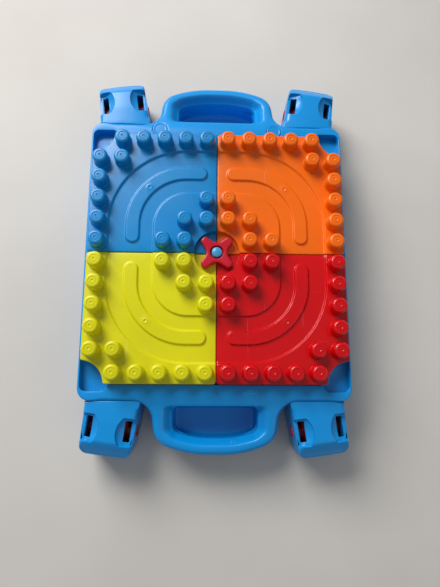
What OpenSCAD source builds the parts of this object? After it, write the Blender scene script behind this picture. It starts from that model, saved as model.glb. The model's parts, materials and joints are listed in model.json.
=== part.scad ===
// Folding building-block play table for small children, shown folded flat for storage.
// Two blue shells carry four coloured stud tiles, a turning cross knob that keeps the tiles down,
// a carrying handle at each end and a knuckle housing with a folding leg at each corner.
// Origin: the middle of the footprint, on the floor. +Z up, +Y along the length, handle to handle.

/* [Tiles] */
// Spacing of the studs
stud_pitch = 31.75; // [26:0.25:40]
// Diameter of a stud
stud_d = 22.8; // [18:0.2:25]
// Height of a stud above its tile
stud_h = 20; // [15:0.5:25]
// Height of a tile from its seat to its top
tile_h = 20; // [18:0.5:26]
// Thickness of a tile's side walls
tile_wall = 2.6; // [2:0.1:4]
// Thickness of a tile's top under the road
tile_skin = 2.6; // [2:0.1:3.5]
// Gap from a tile to the seam line and to the rim
tile_gap = 0.4; // [0.2:0.1:1]
// Depth of the road in the tiles
road_depth = 3; // [1:0.25:4]
// Radius of the finger notch at a tile's outer corner
notch_r = 33; // [24:0.5:36]
// Radius of the round sunk ledge that the knob covers
ledge_r = 33; // [26:0.5:36]
// Depth of the sunk ledge below the tile's top
ledge_depth = 8; // [5:0.5:10]

/* [Body] */
// Height of the seat that the tiles lie on
seat_z = 70; // [66:0.5:84]
// Height of the rim above the seat
rim_h = 8; // [5:0.5:12]
// Width of the side walls beyond the tiles
side_rim = 5; // [4:0.5:12]
// Width of the rims at the handle ends
end_rim = 23; // [20:0.5:32]
// Corner radius of the body
body_corner_r = 18; // [8:1:30]
// Wall of the shells
shell_wall = 2.6; // [2:0.1:3.5]
// Height of the joint line between the two shells
split_z = 40; // [34:0.5:44]
// Height of the bottom panel above the floor
panel_z = 4; // [3:0.5:8]
// Height of the floor of the storage bins
bin_z = 20; // [17:0.5:40]
// Width of the ribs between the bins
bin_rib = 10; // [8:0.5:16]

/* [Handles] */
// Reach of a handle beyond the body
handle_reach = 75.5; // [60:0.5:92]
// Width of a handle where it leaves the body
handle_root_w = 186; // [150:1:190]
// Width of a handle at the shoulders of its outer end
handle_tip_w = 172; // [130:1:180]
// Width of the hand opening
grip_w = 124; // [90:1:126]
// Width of the grip bar at its middle
bar_w = 22; // [16:0.5:26]
// Height of the floor of the hand opening
grip_floor_z = 18; // [14:0.5:26]

/* [Legs and knuckles] */
// Distance of a leg pivot from the middle, across the table
pivot_x = 151; // [140:0.5:156]
// Distance of a leg pivot beyond the body's end
pivot_out = 38.5; // [34:0.5:46]
// Height of the leg pivots
pivot_z = 37; // [34:0.5:42]
// Turn of each knuckle away from the table's length, in degrees
splay = 8; // [0:0.5:10]
// Length of a leg from its pivot to the end of its foot
leg_len = 244; // [200:1:246]
// Width of a leg's shank
leg_w = 50; // [36:0.5:52]
// Thickness of a leg's shank
leg_t = 36; // [28:0.5:36]
// Wall of a leg
leg_wall = 3; // [2:0.1:4]
// Radius of the hub at the top of a leg
hub_r = 22; // [21:0.5:27]
// Radius of a leg's pivot pin
pin_r = 9; // [6:0.25:11]
// Running clearance of a pivot pin in its knuckle
pin_clear = 0.08; // [0.05:0.01:0.1]
// Half the width of a knuckle at the body
knuckle_half = 38; // [37:0.5:42]
// Reach of a knuckle beyond its pivot
knuckle_reach = 38; // [36:0.5:46]
// Height of a knuckle
knuckle_h = 76; // [70:0.5:80]

/* [Knob] */
// Distance from the middle to the tip of a knob arm
knob_r = 30; // [24:0.5:31]
// Width of a knob arm at the knob's middle, from which it narrows
knob_arm_w = 20; // [16:0.5:24]
// Thickness of the knob
knob_t = 12; // [11:0.5:15]
// Radius of the cap in the middle of the knob
cap_r = 8.2; // [8:0.1:9.5]
// Radius of the spigot that the knob turns on
spigot_r = 5; // [4:0.1:5.5]
// Running clearance of the knob on its spigot
knob_clear = 0.08; // [0.05:0.01:0.1]

/* [Hidden] */
$fn = 48;
eps = 0.01;
over = 1; // how far a cutting solid runs past the face that it cuts

// Tiles
studs_side = 6;
tile_side = stud_pitch * studs_side;
tile_top = seat_z + tile_h;
rim_z = seat_z + rim_h;
rim_air = 0.6;           // from the rim up to the overhanging edge of a tile
skirt_in = 1.8;          // how far the part of a tile below the rim stands in
stud_round = 4;          // rounding of a stud's top edge
stud_wall = 2.2;
road_out = 5.5 * stud_pitch - stud_d / 2 - 2.2;  // middle of the table to the outer kerb
road_in = 2.5 * stud_pitch + stud_d / 2 + 3.2;   // and to the inner kerb
road_out_r = 3.7 * stud_pitch;
road_in_r = 1.64 * stud_pitch;
ridge_mid = (road_out + road_in) / 2 - 2.5;
ridge_w = 20;
ridge_r = 2.52 * stud_pitch;     // bend of the ridge's middle line
ridge_end = 25;          // seam to the middle of a ridge's round end
corner_cut_r = 12;       // round cut at a tile's inner corner, around the centre post
ledge_z = tile_top - ledge_depth;
// Grid places of the studs, counted outwards from the table's middle
stud_places = concat([for (i = [0:4]) [5, i]], [for (i = [0:4]) [i, 5]],
                     [[4, 4], [0, 1], [0, 2], [1, 1], [1, 0], [2, 0]]);

// Body
body_x = tile_side + side_rim;
body_y = tile_side + end_rim;
deck_t = 2.6;
deck_under = seat_z - deck_t;
bin_wall = 2.2;
bin_corner = 6;
bin_end = tile_side - 12;
hollow_r = 49;           // around the post the ribs are lower, to let a tilted tile dip
hollow_z = seat_z - 12;
post_r = 8;
rim_hollow = 8;          // width of the space inside the end rims
scoop_z = seat_z - 6;    // floor of the finger scoops
scoop_side = 3;          // wall left outside a scoop at the sides
scoop_wall = 2;
scoop_end = 10;          // reach of a scoop into the end rim
boss_r = 5.5;
screw_r = 1.6;
screw_head_r = 3.8;
screw_head_t = 2.8;
screw_air = 0.4;         // round a screw where it passes through
boss_z = bin_z - bin_wall;
screw_len = 24;
screw_seat = panel_z + 1.2;              // height of the screw heads' undersides
pilot_top = screw_seat + screw_len + 3;
shell_screw_places = [[60, body_y - shell_wall - 6], [-60, body_y - shell_wall - 6],
                      [60, -body_y + shell_wall + 6], [-60, -body_y + shell_wall + 6],
                      [0, 100], [0, -100], [tile_side - 15, 0], [-tile_side + 15, 0]];
pad_places = [[60, 150], [-60, 150], [60, -150], [-60, -150]];
pad_r = 10;
plug_r = 12;
plug_x = 90;
plug_y = body_y - 9;
plug_air = 0.4;
plug_t = 2;
plug_sink = 1.4;

// Handles
handle_top_root = rim_z - 3;
handle_top_tip = rim_z - 17;
handle_base_z = 14;
grip_gap = 6.5;          // body's end to the straight side of the hand opening
grip_shoulder = 14;      // the opening's far side to its shoulders
handle_y = body_y + handle_reach;
root_fillet = 12;        // hollow corner between a handle and the body
flank_r = 34;            // rounding of a handle's shoulders
tip_r = handle_tip_w * 0.8;
shoulder_y = 21;         // a handle's tip down to its shoulders

// Legs
pivot_y = body_y + pivot_out;
leg_air = 2;             // around a leg inside its trough
trough_half = leg_w / 2 + leg_air;
trough_top = pivot_z + leg_t / 2 + leg_air;
trough_wall = 2.5;
trough_end = leg_len + 5;
tray_in = 8;             // the tray's edge stands in from the rim by this much
tray_x = tile_side - tray_in;
bin_x = pivot_x - leg_len * sin(splay) - trough_half - trough_wall - bin_wall - 3;
cheek = 4.5;
pocket_half = knuckle_half - 1.5 - cheek;
hub_air = 0.6;           // from a hub's ends to the cheeks
hub_room = 2.5;          // round a hub in its knuckle
hub_half = pocket_half - hub_air;
barrel_half = leg_w / 2 - 3.5;   // the hub's full-size middle
hub_end_r = pin_r + 4;   // the hub's ends, under the windows
pin_half = knuckle_half + 0.4;
pin_wall = 3;
pad_t = 7;
cover_t = 2.5;
cover_from = 34;         // pivot to the near end of a leg's back cover
stop_air = 1;            // between an opened leg and the knuckle that stops it
window_in = 23;          // inner side of a knuckle's window from its middle
window_out = pocket_half - 1;
window_near = -15;
window_far = 15;
scoop_in = 15;           // inner edge of a window's scoop from the knuckle's middle
scoop_drop = 10;
window_scoop_r = 27;
knuckle_screw_u = [-20, 8];
knuckle_screw_z = knuckle_h - 9;
knuckle_screw_len = 16;

// Knob
knob_air = 1;            // over the sunk ledges
knob_core_r = knob_r * 0.5;
knob_tip_r = knob_arm_w * 0.3;
knob_z = ledge_z + knob_air;
spigot_h = 5;
shoulder_z = knob_z + spigot_h;
turn_air = 0.1;          // above and below the knob's hub, so that it turns
knob_screw_z = knob_z - 16;
ring_r = 9.5;
ring_depth = 3;
washer_t = 1;
cap_low = 3.4;           // underside of the cap below the knob's top
cap_dome = 2.6;

// ---- outlines -------------------------------------------------------------------------------

function unit(v) = v / norm(v);
// Points of the arc that rounds corner b, between its neighbours a and c, with radius r
function corner_arc(a, b, c, r, n) =
    let (u = unit(a - b), w = unit(c - b), half = acos(u * w) / 2,
         mid = b + unit(u + w) * r / sin(half), p = b + u * r / tan(half), q = b + w * r / tan(half),
         from = atan2(p.y - mid.y, p.x - mid.x), to = atan2(q.y - mid.y, q.x - mid.x),
         turn = (to - from + 540) % 360 - 180)
    [for (i = [0:n]) mid + r * [cos(from + turn * i / n), sin(from + turn * i / n)]];
// Outline through corners given as [x, y, radius]
function rounded(corners, n = 8) =
    let (k = len(corners), flat = [for (c = corners) [c.x, c.y]])
    [for (i = [0:k - 1])
        each (corners[i][2] > 0
              ? corner_arc(flat[(i + k - 1) % k], flat[i], flat[(i + 1) % k], corners[i][2], n)
              : [flat[i]])];

module body_outline(inset = 0) {
    r = body_corner_r - inset;
    x = body_x - inset;
    y = body_y - inset;
    square([2 * x, 2 * (y - r)], center = true);
    square([2 * (x - r), 2 * y], center = true);
    for (sx = [-1, 1], sy = [-1, 1]) translate([sx * (x - r), sy * (y - r)]) circle(r);
}
// One quarter of a rounded square about the table's middle
module road_quarter(half, r) {
    square([half, half - r]);
    square([half - r, half]);
    translate([half - r, half - r]) circle(r, $fn = 96);
}
// Plan of a handle, or of the space inside its walls when moved in by a wall
module handle_outline(inset = 0) {
    root = handle_root_w / 2 - inset;
    flank = handle_tip_w / 2 - inset;
    tip = handle_tip_w * 0.21 - inset / 2;
    flank_y = handle_y - shoulder_y - inset / 2;
    near = body_y - shell_wall;
    half = [[root + root_fillet + 3, near, 0], [root + root_fillet + 3, body_y - inset + eps, 0],
            [root, body_y - inset + eps, root_fillet + inset], [flank, flank_y, flank_r - inset],
            [tip, handle_y - inset, tip_r]];
    polygon(rounded(concat(half, [for (i = [4:-1:0]) [-half[i].x, half[i].y, half[i][2]]])));
}
// Plan of the hand opening, or of the wall round it when grown
module grip_outline(grow = 0) {
    half = grip_w / 2 + grow;
    near = body_y + grip_gap - grow;
    far = handle_y - bar_w + grow;
    shoulder = far - grip_shoulder;
    polygon(rounded([[-half, near, 8], [-half, shoulder, 16], [-grip_w / 4, far, 40],
                     [grip_w / 4, far, 40], [half, shoulder, 16], [half, near, 8]]));
}
// Space inside the walls of a handle
module handle_hollow(low, high) {
    difference() {
        translate([0, body_y - shell_wall - over, low]) intersection() {
            translate([0, shell_wall + over - body_y, 0])
                linear_extrude(high - low) handle_outline(shell_wall);
            translate([-handle_root_w, 0, -over]) cube([2 * handle_root_w, 2 * handle_reach, 2 * high]);
        }
        translate([0, 0, low - over]) linear_extrude(high) grip_outline(shell_wall);
    }
}
module both_ends() {
    children();
    mirror([0, 1, 0]) children();
}
// Puts a shape made for the corner with +X and +Y into the named corner
module corner(sx, sy) {
    mirror([sx < 0 ? 1 : 0, 0, 0]) mirror([0, sy < 0 ? 1 : 0, 0]) children();
}
module all_corners() {
    for (sx = [-1, 1], sy = [-1, 1]) corner(sx, sy) children();
}
// Local frame of a leg pivot: X along the pivot pin, Y out of the table's end, Z up
module at_pivot() {
    translate([pivot_x, pivot_y, pivot_z]) rotate([0, 0, -splay]) children();
}
// A solid with its profile in the pivot frame's YZ plane, reaching half each way along the pin
module across(half) {
    rotate([90, 0, 90]) translate([0, 0, -half]) linear_extrude(2 * half) children();
}

// ---- body -----------------------------------------------------------------------------------

// The space that a folded leg lies in, grown by a wall where asked
module trough(grow, low) {
    at_pivot() translate([-trough_half - grow, -trough_end - grow, low - pivot_z])
        cube([2 * (trough_half + grow), trough_end + grow + 60, trough_top + grow - low]);
}
module screw_column(place, r, low, high) {
    translate([place.x, place.y, low]) cylinder(r = r, h = high - low);
}
module screw_columns(r, low, high) {
    for (p = shell_screw_places) screw_column(p, r, low, high);
}
module bins(grow, low, high) {
    for (sx = [-1, 1], sy = [-1, 1]) corner(sx, sy)
        translate([bin_rib / 2 - grow, bin_rib / 2 - grow, low])
            linear_extrude(high - low) {
                w = bin_x - bin_rib / 2 + 2 * grow;
                l = bin_end - bin_rib / 2 + 2 * grow;
                r = bin_corner;
                translate([r, 0]) square([w - 2 * r, l]);
                translate([0, r]) square([w, l - 2 * r]);
                for (x = [r, w - r], y = [r, l - r]) translate([x, y]) circle(r);
            }
}
module scoop_shape(grow) {
    intersection() {
        translate([tile_side, tile_side]) circle(notch_r + 3 + grow);
        square([tile_side + side_rim - scoop_side + grow, tile_side + scoop_end + grow]);
    }
}
// Solid that closes a scoop from below
module scoop_block() {
    translate([0, 0, scoop_z - deck_t]) linear_extrude(seat_z - scoop_z + deck_t) scoop_shape(scoop_wall);
}
module slope_cut(from_z, to_z) {
    fall = atan2(from_z - to_z, handle_reach);
    translate([0, body_y, from_z]) rotate([-fall, 0, 0])
        translate([-handle_root_w, -over, 0]) cube([2 * handle_root_w, 2 * handle_reach, 60]);
}
module handle_top() {
    difference() {
        translate([0, 0, split_z]) linear_extrude(handle_top_root - split_z) handle_outline();
        translate([0, 0, split_z - over]) linear_extrude(rim_z) grip_outline();
        handle_hollow(split_z - over, handle_top_tip - 2 * shell_wall);
        slope_cut(handle_top_root, handle_top_tip);
    }
}
module handle_pan() {
    difference() {
        translate([0, 0, handle_base_z]) linear_extrude(split_z - handle_base_z) handle_outline();
        translate([0, 0, grip_floor_z]) linear_extrude(rim_z) grip_outline();
        handle_hollow(handle_base_z + shell_wall, split_z + over);
    }
}
module knuckle_screw_holes(r, from_y, to_y) {
    for (u = knuckle_screw_u) translate([pivot_x + u, from_y, knuckle_screw_z])
        rotate([-90, 0, 0]) cylinder(r = r, h = to_y - from_y);
}

module top_shell() {
    color("deepskyblue") difference() {
        union() {
            difference() {
                translate([0, 0, split_z]) linear_extrude(rim_z - split_z) body_outline();
                translate([0, 0, split_z - over]) linear_extrude(deck_under - split_z + over)
                    body_outline(shell_wall);
                both_ends() translate([-body_x + body_corner_r, body_y - shell_wall - rim_hollow, split_z])
                    cube([2 * (body_x - body_corner_r), rim_hollow, rim_z - shell_wall - split_z]);
            }
            both_ends() handle_top();
            for (p = shell_screw_places) if (abs(p.y) > tile_side)
                screw_column(p, boss_r, boss_z, deck_under + over);
            all_corners() scoop_block();
        }
        // opening that the tray closes, and the pocket that the tiles lie in
        translate([-tray_x, -tray_x, split_z]) cube([2 * tray_x, 2 * tray_x, rim_z]);
        translate([-tile_side, -tile_side, seat_z]) cube([2 * tile_side, 2 * tile_side, rim_h + over]);
        all_corners() translate([0, 0, scoop_z]) linear_extrude(rim_z) scoop_shape(0);
        all_corners() trough(0, 0);
        all_corners() knuckle_screw_holes(screw_r, body_y - shell_wall - over, body_y + over);
        screw_columns(screw_r, boss_z - over, pilot_top);
        for (sx = [-1, 1]) translate([sx * plug_x, plug_y, rim_z - plug_sink])
            cylinder(r = plug_r, h = rim_z);
    }
}

// Tray that closes the shell's opening: the tiles' seat, four bins and the knob's post
module storage_tray() {
    color("dodgerblue") difference() {
        union() {
            translate([-tray_x, -tray_x, deck_under]) cube([2 * tray_x, 2 * tray_x, deck_t]);
            bins(bin_wall, boss_z, deck_under + over);
            translate([-bin_rib / 2, -bin_end, boss_z])
                cube([bin_rib, 2 * bin_end, deck_under - boss_z + over]);
            for (p = shell_screw_places) if (abs(p.y) < tile_side)
                screw_column(p, boss_r, boss_z, deck_under + over);
            intersection() {
                all_corners() scoop_block();
                translate([-tray_x, -tray_x, 0]) cube([2 * tray_x, 2 * tray_x, rim_z]);
            }
        }
        bins(0, bin_z, seat_z + over);
        translate([0, 0, hollow_z]) cylinder(r = hollow_r, h = rim_z);
        all_corners() translate([0, 0, scoop_z]) linear_extrude(rim_z) scoop_shape(0);
        all_corners() trough(0, 0);
        screw_columns(screw_r, boss_z - over, pilot_top);
    }
    color("dodgerblue") difference() {
        union() {
            translate([0, 0, boss_z]) cylinder(r = post_r, h = knob_z - turn_air - boss_z);
            translate([0, 0, boss_z]) cylinder(r = spigot_r, h = shoulder_z + turn_air - boss_z);
        }
        translate([0, 0, knob_screw_z - 4]) cylinder(r = screw_r, h = knob_r);
    }
}

module bottom_shell() {
    color("dodgerblue") difference() {
        union() {
            difference() {
                translate([0, 0, panel_z]) linear_extrude(split_z - panel_z) body_outline();
                translate([0, 0, panel_z + bin_wall]) linear_extrude(split_z) body_outline(shell_wall);
            }
            intersection() {
                all_corners() trough(trough_wall, panel_z);
                translate([0, 0, panel_z]) linear_extrude(rim_z) body_outline(shell_wall - eps);
            }
            both_ends() handle_pan();
            screw_columns(boss_r, panel_z, boss_z);
        }
        all_corners() trough(0, -over);
        screw_columns(screw_r + screw_air, 0, boss_z + over);
        screw_columns(screw_head_r + screw_air, 0, screw_seat + screw_head_t);
    }
}

// ---- tiles ----------------------------------------------------------------------------------

// Plan of a tile in the +X +Y corner: seam sides and rim sides moved in, round cuts grown
module tile_plan(seam_in, rim_in, grow) {
    difference() {
        translate([seam_in, seam_in]) square(tile_side - seam_in - rim_in);
        translate([tile_side, tile_side]) circle(notch_r + grow);
        circle(corner_cut_r + grow);
    }
}
module stud_at_places() {
    for (p = stud_places) translate([(p.x + 0.5) * stud_pitch, (p.y + 0.5) * stud_pitch, 0]) children();
}
module stud() {
    r = stud_d / 2;
    rotate_extrude() polygon(concat([[0, -eps], [r, -eps]],
        [for (i = [0:4]) [r - stud_round + stud_round * cos(i * 22.5),
                          stud_h - stud_round + stud_round * sin(i * 22.5)]], [[0, stud_h]]));
}
module ridge() {
    bend = ridge_mid - ridge_r;
    translate([bend, bend, 0]) rotate_extrude(angle = 90, $fn = 96)
        translate([ridge_r - ridge_w / 2, 0]) square([ridge_w, road_depth]);
    translate([ridge_mid - ridge_w / 2, ridge_end, 0]) cube([ridge_w, bend - ridge_end, road_depth]);
    translate([ridge_end, ridge_mid - ridge_w / 2, 0]) cube([bend - ridge_end, ridge_w, road_depth]);
    translate([ridge_mid, ridge_end, 0]) cylinder(r = ridge_w / 2, h = road_depth);
    translate([ridge_end, ridge_mid, 0]) cylinder(r = ridge_w / 2, h = road_depth);
}
module tile() {
    ceiling = tile_top - road_depth - tile_skin;
    difference() {
        union() {
            translate([0, 0, rim_z + rim_air]) linear_extrude(tile_top - rim_z - rim_air)
                tile_plan(tile_gap, tile_gap, 0);
            translate([0, 0, seat_z]) linear_extrude(rim_h + rim_air + eps)
                tile_plan(tile_gap, skirt_in, skirt_in - tile_gap);
            translate([0, 0, tile_top]) stud_at_places() stud();
        }
        difference() {
            translate([0, 0, seat_z - over]) linear_extrude(ceiling - seat_z + over)
                tile_plan(tile_gap + tile_wall, skirt_in + tile_wall, skirt_in - tile_gap + tile_wall);
            translate([0, 0, ledge_z - tile_wall]) cylinder(r = ledge_r + tile_wall, h = tile_h);
        }
        translate([0, 0, ledge_z]) cylinder(r = ledge_r, h = stud_h + ledge_depth);
        translate([0, 0, ceiling - over]) stud_at_places()
            cylinder(r = stud_d / 2 - stud_wall, h = stud_h + tile_top - ceiling + over - stud_wall);
        translate([0, 0, tile_top - road_depth]) difference() {
            linear_extrude(road_depth + over) difference() {
                road_quarter(road_out, road_out_r);
                road_quarter(road_in, road_in_r);
            }
            ridge();
        }
    }
}
module tile_nw() { color("steelblue") corner(-1, 1) tile(); }
module tile_ne() { color("darkorange") corner(1, 1) tile(); }
module tile_sw() { color("yellow") corner(-1, -1) tile(); }
module tile_se() { color("red") corner(1, -1) tile(); }

// ---- knob -----------------------------------------------------------------------------------

module knob() {
    color("crimson") translate([0, 0, knob_z]) difference() {
        linear_extrude(knob_t) {
            circle(knob_core_r);
            // arms that narrow to a round end
            for (a = [45:90:315]) rotate(a) {
                polygon([[0, -knob_arm_w / 2], [knob_r - knob_tip_r, -knob_tip_r],
                         [knob_r - knob_tip_r, knob_tip_r], [0, knob_arm_w / 2]]);
                translate([knob_r - knob_tip_r, 0]) circle(knob_tip_r);
            }
        }
        translate([0, 0, -over]) cylinder(r = spigot_r + knob_clear, h = knob_t);
        translate([0, 0, spigot_h]) cylinder(r = cap_r, h = knob_t);
        translate([0, 0, knob_t - ring_depth]) cylinder(r = ring_r, h = knob_t);
    }
}
module knob_cap() {
    color("skyblue") translate([0, 0, knob_z + knob_t - cap_low]) {
        cylinder(r = cap_r, h = cap_low - 1);
        translate([0, 0, cap_low - 1]) intersection() {
            sphere_r = (cap_r * cap_r + cap_dome * cap_dome) / (2 * cap_dome);
            translate([0, 0, cap_dome - sphere_r]) sphere(sphere_r, $fn = 64);
            cylinder(r = cap_r, h = cap_dome);
        }
    }
}
module knob_washer() {
    color("silver") translate([0, 0, shoulder_z + turn_air]) difference() {
        cylinder(r = cap_r - 0.7, h = washer_t);
        translate([0, 0, -over]) cylinder(r = screw_r, h = washer_t + 2 * over);
    }
}
module knob_screw() {
    color("silver") {
        head_z = shoulder_z + turn_air + washer_t;
        translate([0, 0, head_z]) cylinder(r = screw_head_r - screw_air, h = 2);
        translate([0, 0, knob_screw_z]) cylinder(r = screw_r, h = head_z - knob_screw_z);
    }
}

// ---- knuckles and legs ----------------------------------------------------------------------

module knuckle_profile() {
    polygon(rounded([[-60, -pivot_z, 0], [knuckle_reach - 3, -pivot_z, 8], [knuckle_reach, -6, 30],
                     [knuckle_reach - 4, knuckle_h - pivot_z - 5, 24],
                     [-4, knuckle_h - pivot_z + 1, 60], [-60, knuckle_h - pivot_z - 4, 0]]));
}
module knuckle_plan() {
    polygon(rounded([[-knuckle_half - 1.5, -60, 0], [knuckle_half + 1.5, -60, 0],
                     [knuckle_half - 2, knuckle_reach + 0.5, 10],
                     [-knuckle_half + 2, knuckle_reach + 0.5, 10]]));
}
module knuckle() {
    difference() {
        intersection() {
            at_pivot() across(knuckle_half + 5) knuckle_profile();
            at_pivot() translate([0, 0, -pivot_z - over]) linear_extrude(2 * knuckle_h) knuckle_plan();
            translate([0, body_y, -over]) cube([3 * pivot_x, 4 * pivot_out, 2 * knuckle_h]);
        }
        at_pivot() {
            // room for the hub, and for the shank from folded to upright
            translate([-pocket_half, 0, 0]) rotate([0, 90, 0])
                cylinder(r = hub_r + hub_room, h = 2 * pocket_half);
            translate([-pocket_half, -80, -pivot_z - over])
                cube([2 * pocket_half, 80 + leg_t / 2 + stop_air, pivot_z + over]);
            translate([-pocket_half, -80, -over])
                cube([2 * pocket_half, 80, leg_t / 2 + leg_air + over]);
            // space behind the stop wall
            translate([-pocket_half, leg_t / 2 + stop_air + 3, -pivot_z - over])
                cube([2 * pocket_half, knuckle_reach - leg_t / 2 - stop_air - 8, pivot_z - 6]);
            // bearings of the pivot pin
            translate([-2 * knuckle_half, 0, 0]) rotate([0, 90, 0])
                cylinder(r = pin_r + pin_clear, h = 4 * knuckle_half);
            // windows, each in a scoop that opens to the side
            for (side = [0, 1]) mirror([side, 0, 0]) {
                translate([window_in, window_near, 0])
                    cube([window_out - window_in, window_far - window_near, knuckle_h]);
                translate([scoop_in, 0, knuckle_h - pivot_z - scoop_drop])
                    intersection() {
                        translate([0, window_near - 2, 0])
                            cube([2 * knuckle_half, window_far - window_near + 9, knuckle_h]);
                        translate([window_scoop_r, 3, 0]) cylinder(r = window_scoop_r, h = knuckle_h);
                    }
            }
        }
        knuckle_screw_holes(screw_r, body_y - over, body_y - shell_wall + knuckle_screw_len);
    }
}
module leg() {
    difference() {
        union() {
            translate([-barrel_half, 0, 0]) rotate([0, 90, 0]) cylinder(r = hub_r, h = 2 * barrel_half);
            translate([-hub_half, 0, 0]) rotate([0, 90, 0]) cylinder(r = hub_end_r, h = 2 * hub_half);
            translate([-leg_w / 2, -leg_len + pad_t, -leg_t / 2]) cube([leg_w, leg_len - pad_t, leg_t]);
        }
        translate([-2 * hub_half, 0, 0]) rotate([0, 90, 0]) cylinder(r = pin_r, h = 4 * hub_half);
        // channel, open at the back, which the cover closes
        translate([-leg_w / 2 + leg_wall, -leg_len + pad_t + leg_wall, -leg_t / 2 + leg_wall])
            cube([leg_w - 2 * leg_wall, leg_len - pad_t - leg_wall - cover_from, leg_t]);
    }
}
module leg_cover() {
    translate([-leg_w / 2 + leg_wall, -leg_len + pad_t + leg_wall, leg_t / 2 - cover_t])
        cube([leg_w - 2 * leg_wall, leg_len - pad_t - leg_wall - cover_from, cover_t]);
}
module leg_pin() {
    difference() {
        translate([-pin_half, 0, 0]) rotate([0, 90, 0]) cylinder(r = pin_r, h = 2 * pin_half);
        translate([-2 * pin_half, 0, 0]) rotate([0, 90, 0]) cylinder(r = pin_r - pin_wall, h = 4 * pin_half);
    }
}
module foot_pad() {
    difference() {
        translate([-leg_w / 2, -leg_len, -leg_t / 2]) cube([leg_w, pad_t, leg_t]);
        for (u = [-12, 0, 12]) translate([u - 1, -leg_len - over, -leg_t / 2 - over])
            cube([2, over + 1.2, leg_t + 2 * over]);
    }
}
module knuckle_nw() { color("deepskyblue") corner(-1, 1) knuckle(); }
module knuckle_ne() { color("deepskyblue") corner(1, 1) knuckle(); }
module knuckle_sw() { color("deepskyblue") corner(-1, -1) knuckle(); }
module knuckle_se() { color("deepskyblue") corner(1, -1) knuckle(); }
module leg_nw() { color("firebrick") corner(-1, 1) at_pivot() leg(); }
module leg_ne() { color("firebrick") corner(1, 1) at_pivot() leg(); }
module leg_sw() { color("firebrick") corner(-1, -1) at_pivot() leg(); }
module leg_se() { color("firebrick") corner(1, -1) at_pivot() leg(); }
module leg_cover_nw() { color("brown") corner(-1, 1) at_pivot() leg_cover(); }
module leg_cover_ne() { color("brown") corner(1, 1) at_pivot() leg_cover(); }
module leg_cover_sw() { color("brown") corner(-1, -1) at_pivot() leg_cover(); }
module leg_cover_se() { color("brown") corner(1, -1) at_pivot() leg_cover(); }
module leg_pin_nw() { color("red") corner(-1, 1) at_pivot() leg_pin(); }
module leg_pin_ne() { color("red") corner(1, 1) at_pivot() leg_pin(); }
module leg_pin_sw() { color("red") corner(-1, -1) at_pivot() leg_pin(); }
module leg_pin_se() { color("red") corner(1, -1) at_pivot() leg_pin(); }
module foot_pad_nw() { color("dimgray") corner(-1, 1) at_pivot() foot_pad(); }
module foot_pad_ne() { color("dimgray") corner(1, 1) at_pivot() foot_pad(); }
module foot_pad_sw() { color("dimgray") corner(-1, -1) at_pivot() foot_pad(); }
module foot_pad_se() { color("dimgray") corner(1, -1) at_pivot() foot_pad(); }

// ---- trim and fasteners ---------------------------------------------------------------------

module rim_plugs() {
    color("deepskyblue") for (sx = [-1, 1])
        translate([sx * plug_x, plug_y, rim_z - plug_sink]) cylinder(r = plug_r - plug_air, h = plug_t);
}
module shell_screws() {
    color("silver") for (p = shell_screw_places) translate([p.x, p.y, screw_seat]) {
        cylinder(r = screw_head_r, h = screw_head_t);
        cylinder(r = screw_r, h = screw_len);
    }
}
module knuckle_screws() {
    color("silver") all_corners() {
        knuckle_screw_holes(screw_r, body_y - shell_wall - over, body_y - shell_wall + knuckle_screw_len - 2);
        knuckle_screw_holes(screw_head_r, body_y - shell_wall - 2.4, body_y - shell_wall);
    }
}
module floor_pads() {
    color("dimgray") for (p = pad_places) translate([p.x, p.y, 0]) cylinder(r = pad_r, h = panel_z);
}

top_shell();
storage_tray();
bottom_shell();
tile_nw();
tile_ne();
tile_sw();
tile_se();
knob();
knob_cap();
knob_washer();
knob_screw();
knuckle_nw();
knuckle_ne();
knuckle_sw();
knuckle_se();
leg_nw();
leg_ne();
leg_sw();
leg_se();
leg_cover_nw();
leg_cover_ne();
leg_cover_sw();
leg_cover_se();
leg_pin_nw();
leg_pin_ne();
leg_pin_sw();
leg_pin_se();
foot_pad_nw();
foot_pad_ne();
foot_pad_sw();
foot_pad_se();
rim_plugs();
shell_screws();
knuckle_screws();
floor_pads();
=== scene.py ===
"""Looks for a folding building-block play table, shown folded flat.

Two blue shells carry four coloured stud tiles, a cross knob, two carrying handles and four knuckle
housings with folded legs. Sizes are in millimetres, counted from the middle of the footprint on the
floor, with +Y from handle to handle and +Z up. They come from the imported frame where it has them.
"""

import json
import logging
import math
from dataclasses import dataclass
from enum import Enum
from typing import Callable, Sequence, Union

import bmesh
import bpy
import numpy as np
from mathutils import Matrix, Vector
from mathutils.geometry import delaunay_2d_cdt


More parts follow.
